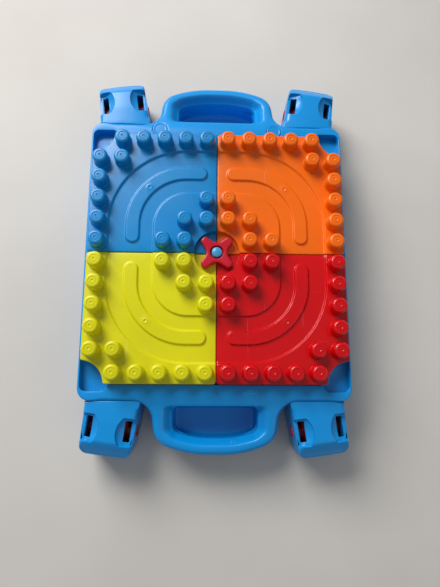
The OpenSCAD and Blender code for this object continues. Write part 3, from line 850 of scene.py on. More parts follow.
@dataclass
class StudTile:
    """One stud tile: a hollow moulding with a sunk road, a raised ridge and sixteen studs."""

    plan: Plan
    corner: Corner
    finish: Finish
    stud_wide: float = 22.8
    stud_round: float = 4.2
    edge: float = 1.6
    corner_round: float = 5.0
    notch_r: float = 33.0
    notch_round: float = 3.0
    cut_r: float = 12.0
    road_deep: float = 3.0
    slope: float = 2.6
    ridge_wide: float = 20.0
    ridge_end: float = 25.0
    ledge_r: float = 33.0
    ledge_deep: float = 8.0
    wall: float = 2.6
    skirt_in: float = 1.8

    def __post_init__(self) -> None:
        """Works out the kerbs and the ridge from the stud spacing, as the CAD does."""
        pitch = self.plan.pitch
        self.kerbs = ((5.5 * pitch - self.stud_wide / 2 - 2.2, 3.7 * pitch),
                      (2.5 * pitch + self.stud_wide / 2 + 3.2, 1.64 * pitch))
        self.ridge_mid = (self.kerbs[0][0] + self.kerbs[1][0]) / 2 - 2.5
        self.ridge_r = 2.52 * pitch
        self.bend = self.ridge_mid - self.ridge_r

    def outline(self) -> Array:
        """Plan of the tile: two seam sides, two rim sides, the finger notch and the inner round cut.

        Returns:
            The closed outline.
        """
        gap, far = self.plan.gap, self.plan.side - self.plan.gap
        side, f, r = self.plan.side, self.notch_round, self.notch_r
        c = self.corner_round
        off = math.sqrt((r + f) ** 2 - (self.plan.gap + f) ** 2)
        tilt = math.degrees(math.atan2(self.plan.gap + f, off))
        half = [
            arc((far - c, gap + c), c, -90, 0, 6),
            arc((far - f, side - off), f, 0, 90 - tilt, 5),
            arc((side, side), r, 270 - tilt, 225, 12),
        ]
        first = np.concatenate(half)
        second = first[::-1, ::-1]
        swing = math.degrees(math.asin(gap / self.cut_r))
        inner = arc((0, 0), self.cut_r, 90 - swing, swing, 14)
        return fine(np.concatenate([first, second[1:], inner]), 2.2)

    def kerb_line(self, half: float, radius: float, off: float) -> Array:
        """Quarter of a rounded square about the table's middle, moved out by off.

        Args:
            half: Half the square's width.
            radius: Radius of its corner.
            off: Distance outwards.

        Returns:
            The open line.
        """
        middle = half - radius
        bend = arc((middle, middle), radius + off, 0, 90, 28)
        return np.concatenate([[[half + off, 0.3], [half + off, 6.0]], bend,
                               [[6.0, half + off], [0.3, half + off]]])

    def ridge_line(self, off: float) -> Array:
        """Closed outline at a distance from the ridge's middle line: two arcs and two round ends.

        Args:
            off: Distance from the ridge's middle line.

        Returns:
            The closed line.
        """
        b, m, e = self.bend, self.ridge_mid, self.ridge_end
        ring = np.concatenate([
            arc((m, e), off, 180, 360, 12), arc((b, b), self.ridge_r + off, 0, 90, 24),
            arc((e, m), off, 90, 270, 12), arc((b, b), self.ridge_r - off, 90, 0, 20)])
        return np.concatenate([ring, ring[:1]])

    def top(self, x: Array, y: Array) -> Array:
        """Height of the top: the deck, less the road, plus the ridge, less the round ledge.

        A kerb is a smooth step across the signed distance to a rounded square, which is
        |max(p - half + r, 0)| - r in the quadrant. The ridge is a smooth step on the distance to
        its middle line. A small dish marks the ridge's middle.

        Args:
            x: X of each point.
            y: Y of each point.

        Returns:
            The heights.
        """
        def step(distance: Array) -> Array:
            """From 0 to 1 as a signed distance goes from minus to plus half the slope."""
            return smooth(distance / self.slope + 0.5)

        def square(half: float, radius: float) -> Array:
            """Signed distance to a rounded square about the table's middle."""
            q = np.stack([x, y], -1) - (half - radius)
            return np.linalg.norm(np.maximum(q, 0), axis=-1) + np.minimum(q.max(-1), 0) - radius

        road = step(-square(*self.kerbs[0])) * step(square(*self.kerbs[1]))
        b, m, e = self.bend, self.ridge_mid, self.ridge_end
        bow = np.abs(np.hypot(x - b, y - b) - self.ridge_r)
        legs = np.minimum(np.hypot(x - m, y - np.clip(y, e, b)), np.hypot(y - m, x - np.clip(x, e, b)))
        near = np.where((x > b) & (y > b), bow, legs)
        ridge = step(self.ridge_wide / 2 - near)
        z = self.plan.tile_top - self.road_deep * road * (1 - ridge)
        spot = b + self.ridge_r * math.sqrt(0.5)
        ring = np.hypot(x - spot, y - spot)
        z = z - 0.9 * np.exp(-((ring / 1.5) ** 2)) + 0.5 * np.exp(-(((ring - 3.0) / 1.1) ** 2))
        ledge = smooth((self.ledge_r - np.hypot(x, y)) / 1.6 + 0.5)
        return z - self.ledge_deep * ledge

    def studs(self, surface: Surface) -> None:
        """Adds the studs: a turned profile with a flared foot, a round shoulder and a ringed, dished top.

        Args:
            surface: The surface that takes the faces.
        """
        r, h, e = self.stud_wide / 2, self.plan.stud_high, self.stud_round
        a = np.radians(np.linspace(0, 90, 8))
        shoulder = np.column_stack([r - e + e * np.cos(a), h - e + e * np.sin(a)])
        foot = np.array([[0, -2], [r + 1.6, -2], [r + 1.6, -0.3],
                         [r + 0.9, 0.35], [r + 0.3, 1.2], [r + 0.1, 2.6]])
        crown = np.array([[6.4, h], [6.0, h - 0.48], [5.4, h - 0.55], [5.0, h - 0.1], [2.0, h - 0.05],
                          [1.4, h - 0.5], [0.7, h - 0.9], [0, h - 0.95]])
        profile = np.concatenate([foot, shoulder, crown])
        row = np.arange(5)
        edge = np.full(5, 5)
        places = np.concatenate([np.column_stack([edge, row]), np.column_stack([row, edge]),
                                 [[4, 4], [0, 1], [0, 2], [1, 1], [1, 0], [2, 0]]])
        centres = np.column_stack([(places + 0.5) * self.plan.pitch,
                                   np.full(len(places), self.plan.tile_top)])
        surface.revolve(profile, centres)

    def build(self) -> bpy.types.Object:
        """Makes the tile's mesh.

        Returns:
            The piece.
        """
        outline = self.outline()
        spread = np.array([-0.9, -0.5, -0.28, 0.0, 0.28, 0.5, 0.9]) * self.slope
        lines = [self.kerb_line(half, radius, off) for half, radius in self.kerbs for off in spread]
        lines += [self.ridge_line(self.ridge_wide / 2 + off) for off in spread]
        ledge = [arc((0, 0), self.ledge_r + off, 0.6, 89.4, 30) for off in (-1.6, -0.8, -0.3, 0.3, 0.8, 1.6)]
        lines += ledge
        spot = self.bend + self.ridge_r * math.sqrt(0.5)
        lines += [arc((spot, spot), r, 0, 360, 14) for r in (0.6, 1.4, 2.2, 3.0, 3.8, 5.0)]
        skirt_foot = self.plan.seat
        ceiling = self.plan.tile_top - self.road_deep - self.wall
        inner = fine(moved_in(outline, self.skirt_in + self.wall), 3.0)
        surface = Surface()
        # the overhanging part, the skirt below it and the hollow underside, as one skin
        solid = PlanSolid(outline, self.top, self.edge, level(0))
        edge = solid.edge_rows(outline, self.edge, 1.0)
        seam = (outline.min(1) < self.plan.gap + 0.01) | (np.hypot(*outline.T) < self.cut_r + 0.01)
        set_in = np.where(seam, 0.0, self.skirt_in)
        under = self.plan.rim + 0.6
        skirt = moved_in(outline, set_in)
        rows = [np.column_stack([p, np.full(len(p), z)]) for p, z in
                ((outline, under + 0.4), (moved_in(outline, 0.3), under), (skirt, under),
                 (skirt, skirt_foot + 0.4), (moved_in(skirt, 0.4), skirt_foot))]
        rows = np.concatenate([edge, np.stack(rows)])
        surface.sheet(rows)
        surface.fill(rows[0, :, :2], self.top, (), lines)
        surface.fill(rows[-1, :, :2], level(skirt_foot), [inner])

        def roof(x: Array, y: Array) -> Array:
            """Height of the hollow's ceiling: a wall's thickness under the road, and under the ledge."""
            return np.minimum(ceiling, self.top(x, y) - self.wall)

        heights = (np.full(len(inner), skirt_foot), roof(*inner.T))
        surface.sheet(np.stack([np.column_stack([inner, z]) for z in heights]))
        surface.fill(inner, roof, (), ledge)
        self.studs(surface)
        surface.place(self.corner.put)
        return surface.build(f"stud_tile_{self.corner.tag}")

    def dress(self, paints: Paintbox) -> None:
        """Builds the tile and hands it in."""
        name = f"tile_{self.corner.tag}"
        paints.hand_in(self.build(), self.finish, name, name)


# ---- knob ----------------------------------------------------------------------------------------


@dataclass
class Knob:
    """The cross knob that keeps the tiles down, with a domed cap in its middle."""

    tip: float = 29.8
    tip_half: float = 5.4
    tip_r: float = 5.0
    waist: float = 11.9
    waist_r: float = 14.0
    edge: float = 2.2
    ring_r: float = 9.9
    ring_deep: float = 6.8
    cap_r: float = 7.3
    cap_rise: float = 1.6

    def outline(self) -> Array:
        """Four blunt arms that broaden to the middle, with a wide hollow arc between each two.

        Returns:
            The closed outline.
        """
        a, b = (self.tip + self.tip_half) * math.sqrt(0.5), (self.tip - self.tip_half) * math.sqrt(0.5)
        quarter = [(self.waist, 0.0, self.waist_r), (a, b, self.tip_r), (b, a, self.tip_r)]
        corners = quarter + [(-y, x, r) for x, y, r in quarter]
        return rounded(corners + [(-x, -y, r) for x, y, r in corners], 10)

    def dress(self, paints: Paintbox) -> None:
        """Builds the knob and its cap and hands them in.

        Args:
            paints: The paint box.
        """
        low, high = node_box("knob")
        top = float(high[2])

        def crown(x: Array, y: Array) -> Array:
            """Height of the knob: a shallow bowl that rises from the middle to the arm ends."""
            return top - 0.9 + 0.9 * smooth(np.hypot(x, y) / self.tip)

        well = Well(arc((0, 0), self.ring_r, 0, 360, 40)[:-1], 0.7, top - self.ring_deep, 0.6)
        surface = Surface()
        solid = PlanSolid(fine(self.outline(), 1.6), crown, self.edge, level(float(low[2])), [well],
                          spacing=3.0,
                          foot=0.8)
        solid.skin(surface)
        paints.hand_in(surface.build("cross_knob", 42), Finish.knob_crimson, "knob", "knob")
        cap_low, cap_high = node_box("knob_cap")
        a = np.radians(np.linspace(0, 90, 9))
        ball = (self.cap_r ** 2 + self.cap_rise ** 2) / (2 * self.cap_rise)
        reach = np.linspace(self.cap_r - 0.8, 0, 8)
        dome = np.column_stack([reach, np.sqrt(ball ** 2 - reach ** 2) - ball + float(cap_high[2])])
        brow = float(dome[0, 1])
        side = np.column_stack([self.cap_r - 0.8 + 0.8 * np.cos(a), brow - 0.8 + 0.8 * np.sin(a)])
        profile = np.concatenate([[[0, cap_low[2]], [self.cap_r, cap_low[2]]], side, dome[1:]])
        surface = Surface()
        surface.revolve(profile, np.zeros((1, 3)), 40)
        paints.hand_in(surface.build("knob_dome", 50), Finish.cap_blue, "knob", "knob_cap")


# ---- shells --------------------------------------------------------------------------------------


@dataclass
class UpperShell:
    """The rim that holds the tiles, with a carrying handle at each end."""

    plan: Plan
    corner_r: float = 18.0
    root: float = 93.0
    root_round: float = 28.0
    root_round_low: float = 12.0
    flank: float = 87.0
    flank_round: float = 30.0
    tip: float = 42.0
    tip_round: float = 150.0
    shoulder: float = 19.0
    grip: float = 62.0
    grip_near: float = 6.5
    bar: float = 22.0
    grip_floor: float = 18.4
    root_drop: float = 3.0
    tip_drop: float = 17.0
    seat_in: float = 8.0
    scoop_r: float = 36.0
    scoop_deep: float = 6.0
    scoop_end: float = 10.0
    scoop_side: float = 2.0
    plug_at: tuple[float, float] = (90.0, 204.5)
    plug_r: float = 12.0

    def outline(self, root_round: float) -> Array:
        """Plan of the body with both handles, counter-clockwise, with a hollow fillet at each root.

        Args:
            root_round: Radius of the hollow corners between the handles and the body.

        Returns:
            The closed outline.
        """
        p = self.plan
        handle = [(self.root, p.body_y, root_round),
                  (self.flank, p.handle_y - self.shoulder, self.flank_round),
                  (self.tip, p.handle_y, self.tip_round)]
        east = [(p.body_x, p.body_y, self.corner_r), *handle]
        north = east + [(-x, y, r) for x, y, r in east[::-1]]
        return rounded(north + [(-x, -y, r) for x, y, r in north], 10)

    def edge_radius(self, path: Array) -> Array:
        """Rounding of the outer edge: small at the side rims, larger at the end rims and handles.

        Args:
            path: Points of the edge.

        Returns:
            The radius at each point.
        """
        x, y = np.abs(path).T
        ends = smooth((self.plan.body_x - 16 - x) / 22) * smooth((y - 190) / 20)
        return 2.2 + 3.6 * ends + 2.4 * smooth((y - self.plan.body_y - 4) / 22)

    def crest(self, x: Array, y: Array) -> Array:
        """Height of the top: the flat rim, easing at the ends into the handles' slope down.

        Args:
            x: X of each point.
            y: Y of each point.

        Returns:
            The heights.
        """
        p = self.plan
        out = np.abs(y) - p.body_y
        slope = p.rim - self.root_drop - (self.tip_drop - self.root_drop) * out / (p.handle_y - p.body_y)
        blend = smooth((np.abs(y) - (p.side + 9)) / 22) * smooth((self.root + 34 - np.abs(x)) / 26)
        return p.rim + (np.minimum(slope, p.rim) - p.rim) * blend

    def seat(self, x: Array, y: Array) -> Array:
        """Height of the tiles' seat, dished at the corners so that a finger gets under a tile."""
        reach = np.hypot(np.abs(x) - self.plan.side, np.abs(y) - self.plan.side)
        return self.plan.seat - self.scoop_deep * smooth((self.scoop_r - reach) / 9)

    def scoop_lines(self) -> list[Array]:
        """Arcs along the dished corners' edges.

        Returns:
            The arcs.
        """
        s = self.plan.side
        return [arc((x * s, y * s), self.scoop_r - inset, 0, 360, 72)
                for x in (-1, 1) for y in (-1, 1) for inset in (0.0, 2.2, 4.5, 6.8, 9.0)]

    def pocket(self) -> Array:
        """Outline of the pocket: the tiles' square, with the corner scoops let into the end rims.

        Returns:
            The closed outline.
        """
        s, r = self.plan.side, self.scoop_r
        deep, wide = self.scoop_end, self.scoop_side
        out = math.sqrt(r * r - deep * deep)
        corner = rounded([(s + wide, s - r, 0), (s + wide, s + deep, 9.0), (s - out + 4, s + deep, 6.0),
                          (s - r - 2, s, 6.0), (s - r - 30, s, 0)], 8)
        corner = corner[np.r_[0, 9:len(corner) - 9]]
        first = np.concatenate([[[s, s - r - 3]], corner])
        quads = [first, (first * [-1, 1])[::-1], first * [-1, -1], (first * [1, -1])[::-1]]
        return fine(np.concatenate(quads), 4.0)

    def through(self, inset: float = 0.0) -> Array:
        """Outline of the opening that the storage tray closes.

        Args:
            inset: Distance inwards from the opening.

        Returns:
            The closed outline.
        """
        x = self.plan.side - self.seat_in - inset
        stops = np.r_[-175, -112, 112, 175].astype(float)
        side = np.r_[-x, stops]
        east = np.column_stack([np.full(5, x), side])
        ring = [east @ np.array([[c, s], [-s, c]]) for c, s in ((1, 0), (0, 1), (-1, 0), (0, -1))]
        return fine(np.concatenate(ring), 4.0)

    def base(self, x: Array, y: Array) -> Array:
        """Height of the shell's lower edge, which is raised where a leg passes out to its knuckle.

        Args:
            x: X of each point.
            y: Y of each point.

        Returns:
            The heights.
        """
        leg = smooth((np.abs(x) - 110) / 3) * smooth((177 - np.abs(x)) / 3) * (np.abs(y) > 170) * (
            np.abs(y) < self.plan.body_y + 0.5)
        return self.plan.split + 18.5 * leg

    def grip_path(self, end: int) -> Array:
        """Outline of a hand opening.

        Args:
            end: 1 for the north end, -1 for the south.

        Returns:
            The closed outline.
        """
        p = self.plan
        near, far = p.body_y + self.grip_near, p.handle_y - self.bar
        x = self.grip
        path = rounded([(-x, near, 9), (x, near, 9), (x, far - 10, 13), (x / 2, far, 145), (-x / 2, far, 145),
                        (-x, far - 10, 13)], 14)
        return fine(path if end > 0 else (path * [1, -1])[::-1], 3.0)

    def grip_well(self, end: int) -> Well:
        """A hand opening, with the wide inner slope at its sides and far end.

        The slope's width is a smooth function of the way that the opening's edge faces. Across it
        the height falls by a smooth step.

        Args:
            end: 1 for the north end, -1 for the south.

        Returns:
            The well.
        """
        path = self.grip_path(end)
        out = path - moved_in(path, 1.0)
        facing = out[:, 1] / np.maximum(np.linalg.norm(out, axis=1), 1e-9) * end
        wide = 3.0 + 11.0 * smooth((facing + 0.95) / 0.8) - 4.0 * smooth((facing - 0.25) / 0.5)
        drop = 1.5 + 11.0 * smooth((facing + 0.95) / 0.8)
        start = moved_in(path, -wide)
        high = self.crest(*start.T)
        t = np.linspace(0, 1, 10)[:, None]
        plan = start[None] + (path - start)[None] * t[..., None]
        fall = 0.25 * t + 0.75 * smooth(t * 0.92)
        rows = np.concatenate([plan, (high - drop * fall / fall[-1])[..., None]], -1)
        dip = rows[-1].copy()
        dip[:, :2] = moved_in(path, 0.6)
        dip[:, 2] -= 2.0
        return Well(path, 0.0, self.grip_floor, 7.0, np.concatenate([rows, dip[None]]), 0.8)

    def arrow(self, surface: Surface, at: tuple[float, float], turn: float) -> None:
        """Adds a small raised dart by a seam: a low dome stretched and pinched towards one end.

        Args:
            surface: The surface that takes the faces.
            at: Its middle.
            turn: 1 to point north, -1 to point south.
        """
        a = np.linspace(0, 2 * np.pi, 20, endpoint=False)
        t = np.radians(np.linspace(0, 90, 5))[:, None]
        pinch = 0.7 + 0.5 * np.sin(a) * -turn
        x = 1.5 * np.cos(a) * np.cos(t) * pinch
        y = 3.2 * np.sin(a) * np.cos(t)
        z = 0.8 * np.sin(t) + np.zeros_like(a)
        rows = np.stack([x + at[0], y + at[1], z + self.plan.rim - 0.1], -1)
        low = rows[:1].copy()
        low[..., 2] -= 1.0
        centre = np.repeat([[[at[0], at[1], self.plan.rim - 1.1]]], 20, 1)
        surface.sheet(np.concatenate([centre, low, rows]))

    def build(self) -> bpy.types.Object:
        """Makes the shell's mesh.

        Returns:
            The piece.
        """
        upper, lower = self.outline(self.root_round), self.outline(self.root_round_low)
        counts = side_counts(upper, 4.0)
        outline, foot = cut_sides(upper, counts), cut_sides(lower, counts)
        pocket, hole = self.pocket(), self.through()
        shape = PlanSolid(outline, self.crest, self.edge_radius(outline), self.base)
        surface = Surface()
        edge = shape.edge_rows(outline, self.edge_radius(outline), 1.0, 8)
        low = self.base(*foot.T)
        rows = np.concatenate([edge, np.column_stack([foot, low])[None]])
        surface.sheet(rows)
        rim = shape.edge_rows(pocket, 0.9, -1.0, 4)
        wall = np.column_stack([pocket, self.seat(*pocket.T)])
        rim = np.concatenate([rim, wall[None]])
        surface.sheet(rim)
        grips = [self.grip_well(end) for end in (1, -1)]
        plugs = [Well(np.array([x * self.plug_at[0], self.plug_at[1]])
                      + arc((0, 0), self.plug_r, 0, 360, 36)[:-1],
                      0.5, self.plan.rim - 1.6) for x in (-1, 1)]
        wells = [shape.well_rows(w) for w in (*grips, *plugs)]
        for grid in wells:
            surface.sheet(grid)
        guides = [fine(np.array([[-128.0, y], [128.0, y]]), 6.0)
                  for y in (*range(204, 221, 4), *range(-220, -203, 4))]
        surface.fill(edge[0, :, :2], self.crest, [rim[0, :, :2], *[g[0, :, :2] for g in wells]], guides, 7.0)
        for grid, well in zip(wells, (*grips, *plugs)):
            surface.fill(grid[-1, :, :2], level(well.floor))
        surface.fill(pocket, self.seat, [hole], self.scoop_lines())
        down = np.stack([np.column_stack([hole, self.seat(*hole.T)]),
                         np.column_stack([hole, self.base(*hole.T)])])
        surface.sheet(down)
        cups = [fine(moved_in(self.grip_path(end), -1.2), 6.0) for end in (1, -1)]
        for cup in cups:
            ring = np.stack([np.column_stack([cup, np.full(len(cup), z)]) for z in (self.plan.split, 16.8)])
            surface.sheet(ring)
            surface.fill(cup, level(16.8))
        surface.fill(foot, self.base, [hole, *cups])
        for end in (1, -1):
            self.arrow(surface, (0.0, end * (self.plan.side + 7.5)), float(end))
        return surface.build("upper_shell", 50)

    def tray(self) -> bpy.types.Object:
        """Makes the storage tray: the seat, four bins, the round hollow and the post in its middle.

        Returns:
            The piece.
        """
        p = self.plan
        low = node_box("storage_tray")[0]
        x_out, y_out, near, deep = 98.0, p.side - 12, 5.0, 20.0
        bins = []
        for sx in (-1, 1):
            for sy in (-1, 1):
                xs, ys = sorted((sx * near, sx * x_out)), sorted((sy * near, sy * y_out))
                path = rounded([(xs[0], ys[0], 6), (xs[1], ys[0], 6),
                                (xs[1], ys[1], 6), (xs[0], ys[1], 6)], 6)
                bins.append(Well(fine(path, 5.0), 1.0, deep, 3.0))

        def top(x: Array, y: Array) -> Array:
            """The seat, sunk in a round hollow about the post."""
            hollow = smooth((50 - np.hypot(x, y)) / 2)
            return self.seat(x, y) - 12.0 * hollow

        lines = self.scoop_lines() + [arc((0, 0), r, 0, 360, 72) for r in (48, 50)]
        surface = Surface()
        outline = self.through(0.06)
        under = p.seat - 2.6 - self.scoop_deep - 0.2
        solid = PlanSolid(outline, top, 0.0, level(under), bins, lines)
        solid.skin(surface)
        a = np.radians(np.linspace(0, 90, 4))
        knob_low = float(node_box("knob")[0][2])
        profile = np.concatenate([[[0, under + 1], [14, under + 1], [12, p.seat - 11.5], [9, p.seat - 8]],
                                  np.column_stack([7.2 + 0.8 * np.cos(a), knob_low - 0.9 + 0.8 * np.sin(a)]),
                                  [[5, knob_low - 0.1], [5, knob_low + 5.0], [0, knob_low + 5.0]]])
        surface.revolve(profile, np.zeros((1, 3)), 32)
        return surface.build("storage_tray_moulding", 45)

    def plugs(self) -> bpy.types.Object:
        """Makes the two round plugs in the north rim.

        Returns:
            The piece.
        """
        r, top = self.plug_r - 0.75, self.plan.rim + 0.2
        a = np.radians(np.linspace(0, 90, 5))
        profile = np.concatenate([[[0, top - 1.7], [r, top - 1.7]],
                                  np.column_stack([r - 0.8 + 0.8 * np.cos(a), top - 0.8 + 0.8 * np.sin(a)]),
                                  [[r - 2.6, top], [r - 3.2, top - 0.4],
                                   [r - 3.8, top - 0.4], [0, top - 0.2]]])
        surface = Surface()
        surface.revolve(profile, np.array([[x * self.plug_at[0], self.plug_at[1], 0] for x in (-1, 1)]), 40)
        return surface.build("rim_plug_pair", 45)

    def dress(self, paints: Paintbox) -> None:
        """Builds the shells and hands them in.

        Args:
            paints: The paint box.
        """
        paints.hand_in(self.build(), Finish.body_blue, "table", "top_shell")
        paints.hand_in(self.tray(), Finish.body_blue, "table", "storage_tray")
        paints.hand_in(self.plugs(), Finish.body_blue, "table", "rim_plugs")
        paints.hand_in(eased_copy("bottom_shell", 1.2, "lower_shell"), Finish.body_blue,
                       "table", "bottom_shell")


# ---- knuckles and legs ---------------------------------------------------------------------------


@dataclass
class Knuckle:
    """A knuckle housing: a crowned roof with two scooped windows, over a U of walls."""

    plan: Plan
    corner: Corner
    half: float = 38.0
    reach: float = 38.0
    high: float = 76.6
    roof: float = 64.4
    low: float = 0.6
    round_off: float = 8.0
    toe_from: float = 16.0
    toe_r: float = 28.0
    toe_deep: float = 30.0
    pocket: float = 32.0
    stop: float = 19.0
    slot_in: float = 23.0
    slot_out: float = 32.5
    slot_half: float = 14.5
    scoop_at: tuple[float, float] = (41.0, 2.5)
    scoop_r: float = 29.0
    scoop_deep: float = 9.5
    scoop_near: float = -18.5
    scoop_far: float = 21.0

    def __post_init__(self) -> None:
        """Reads the pivot's place and the turn of its pin from the frame."""
        joint = joint_of(f"leg_{self.corner.tag}_fold")
        place = np.array(joint["pos_m"] if "pos_m" in joint else joint["pos"], float) / MM
        axis = np.array(joint["axis"], float)
        self.pivot = np.abs(place)
        self.splay = math.atan2(abs(axis[1]), abs(axis[0]))

    def put(self, points: Array) -> Array:
        """From the pivot's plan frame (X along the pin, Y outwards) to the table, in this corner.

        Args:
            points: (n, 3) points.

        Returns:
            The moved points.
        """
        c, s = math.cos(self.splay), math.sin(self.splay)
        turned = points @ np.array([[c, -s, 0], [s, c, 0], [0, 0, 1]])
        return self.corner.put(turned + np.array([self.pivot[0], self.pivot[1], 0]))

    def near(self, u: float) -> float:
        """Where the body's end crosses the knuckle's plan, at a place u along the pin."""
        return (self.plan.body_y - self.pivot[1] + u * math.sin(self.splay)) / math.cos(self.splay)

    def outline(self) -> Array:
        """Plan of the knuckle: the body's end, two slightly closing sides and a rounded far end.

        Returns:
            The closed outline.
        """
        wide, far = self.half + 1.1, self.half - 2.2
        return fine(rounded([(-wide, self.near(-wide), 0), (wide, self.near(wide), 0), (far, self.reach, 11),
                             (-far, self.reach, 11)], 9), 2.2)

    def crown(self, u: Array, v: Array) -> Array:
        """Height of the roof: a low dome across, and a toe that falls away at the far end.

        Past toe_from by t, the toe falls by r - sqrt(r^2 - t^2) plus a third of t.

        Args:
            u: Place along the pin.
            v: Place outwards.

        Returns:
            The heights.
        """
        t = np.clip(v - self.toe_from, 0, self.toe_r - 0.5)
        toe = self.toe_r - np.sqrt(self.toe_r ** 2 - t * t) + 0.34 * t * smooth(t / 6)
        return self.high - 2.4 * (u / self.half) ** 2 - toe - 0.03 * np.abs(v + 10)

    def top(self, u: Array, v: Array) -> Array:
        """The crown, less a scoop round each window.

        A scoop is where a circle beside the knuckle and the band between two lines overlap. Inwards
        from the circle it falls by a small smooth step and then straight down to the window, and
        inwards from the lines by a smooth step. Its depth is the lesser of the two.

        Args:
            u: Place along the pin.
            v: Place outwards.

        Returns:
            The heights.
        """
        ring = self.scoop_r - np.hypot(np.abs(u) - self.scoop_at[0], v - self.scoop_at[1])
        band = np.minimum(v - self.scoop_near, self.scoop_far - v)
        bowl = 0.3 * smooth(ring / 1.5) + 0.7 * np.clip(ring / 11, 0, 1)
        return self.crown(u, v) - self.scoop_deep * np.minimum(bowl, smooth(band / 2.6))

    def under(self, u: Array, v: Array) -> Array:
        """Height of the roof's underside, which steps down behind the stop wall."""
        return self.roof - self.toe_deep * smooth((v - self.stop) / 3.0)

    def lines(self) -> list[Array]:
        """Guides for the roof's faces: the toe's crease, and rings inside each scoop's edge.

        Returns:
            The lines.
        """
        cross = np.linspace(-self.half, self.half, 30)
        made = [np.column_stack([cross, np.full(30, v)]) for v in
                (self.toe_from - 0.6, self.toe_from + 0.6, self.toe_from + 6, self.toe_from + 12,
                 self.toe_from + 17)]
        for side in (-1, 1):
            for inset in (-0.5, 0.0, 0.5, 1.0, 1.5, 11.0):
                r = self.scoop_r - inset
                ring = arc(self.scoop_at, r, 90, 270, 48) * [side, 1]
                made.append(ring[(ring[:, 1] > self.scoop_near) & (ring[:, 1] < self.scoop_far)])
            for inset in (-0.5, 0.0, 0.9, 1.7, 2.6):
                for v in (self.scoop_near + inset, self.scoop_far - inset):
                    start = self.scoop_at[0] - math.sqrt(self.scoop_r ** 2 - (v - self.scoop_at[1]) ** 2)
                    u = np.linspace(start + 0.3, self.half, 14)
                    made.append(np.column_stack([side * u, np.full(14, v)]))
        return made

    def build(self) -> bpy.types.Object:
        """Makes the knuckle's mesh.

        Returns:
            The piece.
        """
        outline = self.outline()
        windows = [Well(fine(rounded([(a, -self.slot_half, 1.5), (b, -self.slot_half, 1.5),
                                      (b, self.slot_half, 1.5), (a, self.slot_half, 1.5)], 4), 2.5), 0.8)
                   for a, b in ((self.slot_in, self.slot_out), (-self.slot_out, -self.slot_in))]
        dished = smooth((self.crown(*outline.T) - self.top(*outline.T)) / 2)
        sides = smooth((outline[:, 1] - self.near(0) - 2) / 8) * (1 - 0.8 * smooth((outline[:, 1] - 16) / 16))
        soft = 1.0 + (self.round_off - 1.0) * sides * (1 - dished)
        surface = Surface()
        roof = PlanSolid(outline, self.top, soft, self.under, windows, self.lines(), 4.5)
        roof.skin(surface)
        wide, far, p = self.half + 1.1, self.half - 2.2, self.pocket
        walls = fine(rounded([(-wide, self.near(-wide), 0), (-p, self.near(-p), 0), (-p, self.stop, 2),
                              (p, self.stop, 2), (p, self.near(p), 0), (wide, self.near(wide), 0),
                              (far, self.reach, 11), (-far, self.reach, 11)], 9), 5.0)
        edge = np.clip((walls[:, 1] - 20) / 10, 0, 1)
        PlanSolid(walls, self.under, 0.0, level(self.low), foot=3.0, lean=3.0 * edge).skin(surface)
        surface.place(self.put)
        return surface.build(f"knuckle_housing_{self.corner.tag}", 40)

    def dress(self, paints: Paintbox) -> None:
        """Builds the knuckle, its leg, cover, pin and foot pad, and hands them in.

        Args:
            paints: The paint box.
        """
        tag = self.corner.tag
        paints.hand_in(self.build(), Finish.body_blue, "table", f"knuckle_{tag}")
        # legs and leg covers take the leg red, which carries painted shade
        for node, width, finish in (("leg", 2.4, Finish.leg_red), ("leg_cover", 0.6, Finish.leg_red),
                                    ("leg_pin", 0.8, Finish.pin_red), ("foot_pad", 0.8, Finish.pad_rubber)):
            piece = eased_copy(f"{node}_{tag}", width, f"eased_{node}_{tag}")
            paints.hand_in(piece, finish, f"leg_{tag}", f"{node}_{tag}")


# ---- hardware and studio -------------------------------------------------------------------------


def dress_hardware(paints: Paintbox) -> None:
    """Gives the screws, washer and pads that stay as in the CAD their finishes.

    Args:
        paints: The paint box.
    """
    for name, finish in (("knob_washer", Finish.steel), ("knob_screw", Finish.steel),
                         ("shell_screws", Finish.steel),
                         ("knuckle_screws", Finish.steel), ("floor_pads", Finish.pad_rubber)):
        paints.coat(frame["nodes"][name], finish)
        log.info("%s: as in the CAD", name)


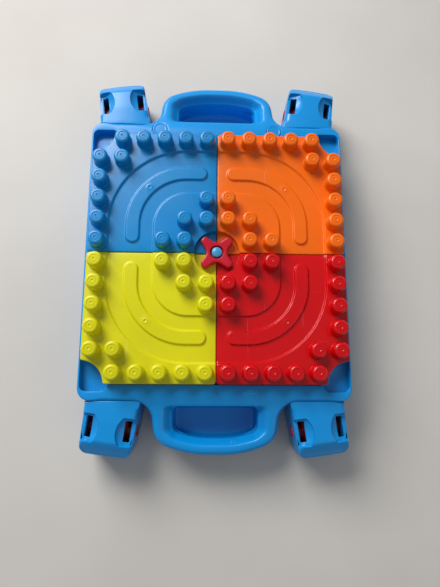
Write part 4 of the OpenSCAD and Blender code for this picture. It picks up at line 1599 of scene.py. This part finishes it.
@dataclass
class Studio:
    """Pale floor, soft light and the camera."""

    eye: tuple[float, float, float] = (-18.0, -191.0, 754.0)
    lens: float = 28.7
    tilt: tuple[float, float, float] = (11.07, -2.03, 0.23)

    def floor(self) -> None:
        """Adds a plain pale floor with a faint mottle."""
        surface = Surface()
        far = np.linspace(-3000, 3000, 13)
        x, y = np.meshgrid(far, far)
        surface.sheet(np.stack([x, y, np.zeros_like(x)], -1), closed=False)
        piece = surface.build("floor")
        n = Nodes("pale_floor")
        tint = n.blend(n.noise(3.0, 4.0).band(0.3, 0.7), linear(196, 190, 182), linear(206, 201, 194))
        n.tree.links.new(tint, n.shader.inputs["Base Color"])
        n.shader.inputs["Roughness"].default_value = 0.85
        piece.data.materials.append(n.material)

    def lights(self) -> None:
        """Adds the window-like key from the upper left, a weak fill and a pale world."""
        for name, at, size, power in (("key", (-1.25, 1.7, 1.8), 1.5, 92.0),
                                      ("fill", (1.6, -1.2, 1.8), 1.6, 4.0)):
            data = bpy.data.lights.new(name, "AREA")
            data.size, data.energy = size, power
            lamp = bpy.data.objects.new(name, data)
            lamp.location = at
            lamp.rotation_euler = (-Vector(at)).to_track_quat("-Z", "Y").to_euler()
            bpy.context.scene.collection.objects.link(lamp)
        world = bpy.data.worlds.new("pale_world")
        world.use_nodes = True
        world.node_tree.nodes["Background"].inputs[0].default_value = (0.86, 0.92, 1.0, 1.0)
        world.node_tree.nodes["Background"].inputs[1].default_value = 0.3
        bpy.context.scene.world = world

    def tone(self) -> None:
        """Shows colours as they are, with no film curve."""
        bpy.context.scene.view_settings.view_transform = "Standard"

    def camera(self) -> None:
        """Adds the camera, nearly overhead and a little towards the south handle."""
        data = bpy.data.cameras.new("camera")
        data.lens, data.sensor_width = self.lens, 36.0
        camera = bpy.data.objects.new("camera", data)
        a, b, c = (math.radians(v) for v in self.tilt)
        turn = Matrix.Rotation(c, 3, "Z") @ Matrix.Rotation(b, 3, "Y") @ Matrix.Rotation(a, 3, "X")
        camera.matrix_world = Matrix.Translation(Vector(self.eye) * MM) @ turn.to_4x4()
        bpy.context.scene.collection.objects.link(camera)
        bpy.context.scene.camera = camera


def main() -> None:
    """Builds the table, piece by piece, and the studio round it."""
    logging.basicConfig(level=logging.INFO, format="%(message)s")
    paints = Paintbox()
    plan = Plan.from_frame()
    UpperShell(plan).dress(paints)
    for corner, finish in ((Corner.NW, Finish.tile_blue), (Corner.NE, Finish.tile_orange),
                           (Corner.SW, Finish.tile_yellow), (Corner.SE, Finish.tile_red)):
        StudTile(plan, corner, finish).dress(paints)
        Knuckle(plan, corner).dress(paints)
    Knob().dress(paints)
    dress_hardware(paints)
    studio = Studio()
    studio.floor()
    studio.lights()
    studio.camera()
    studio.tone()


if __name__ == "__main__":
    main()
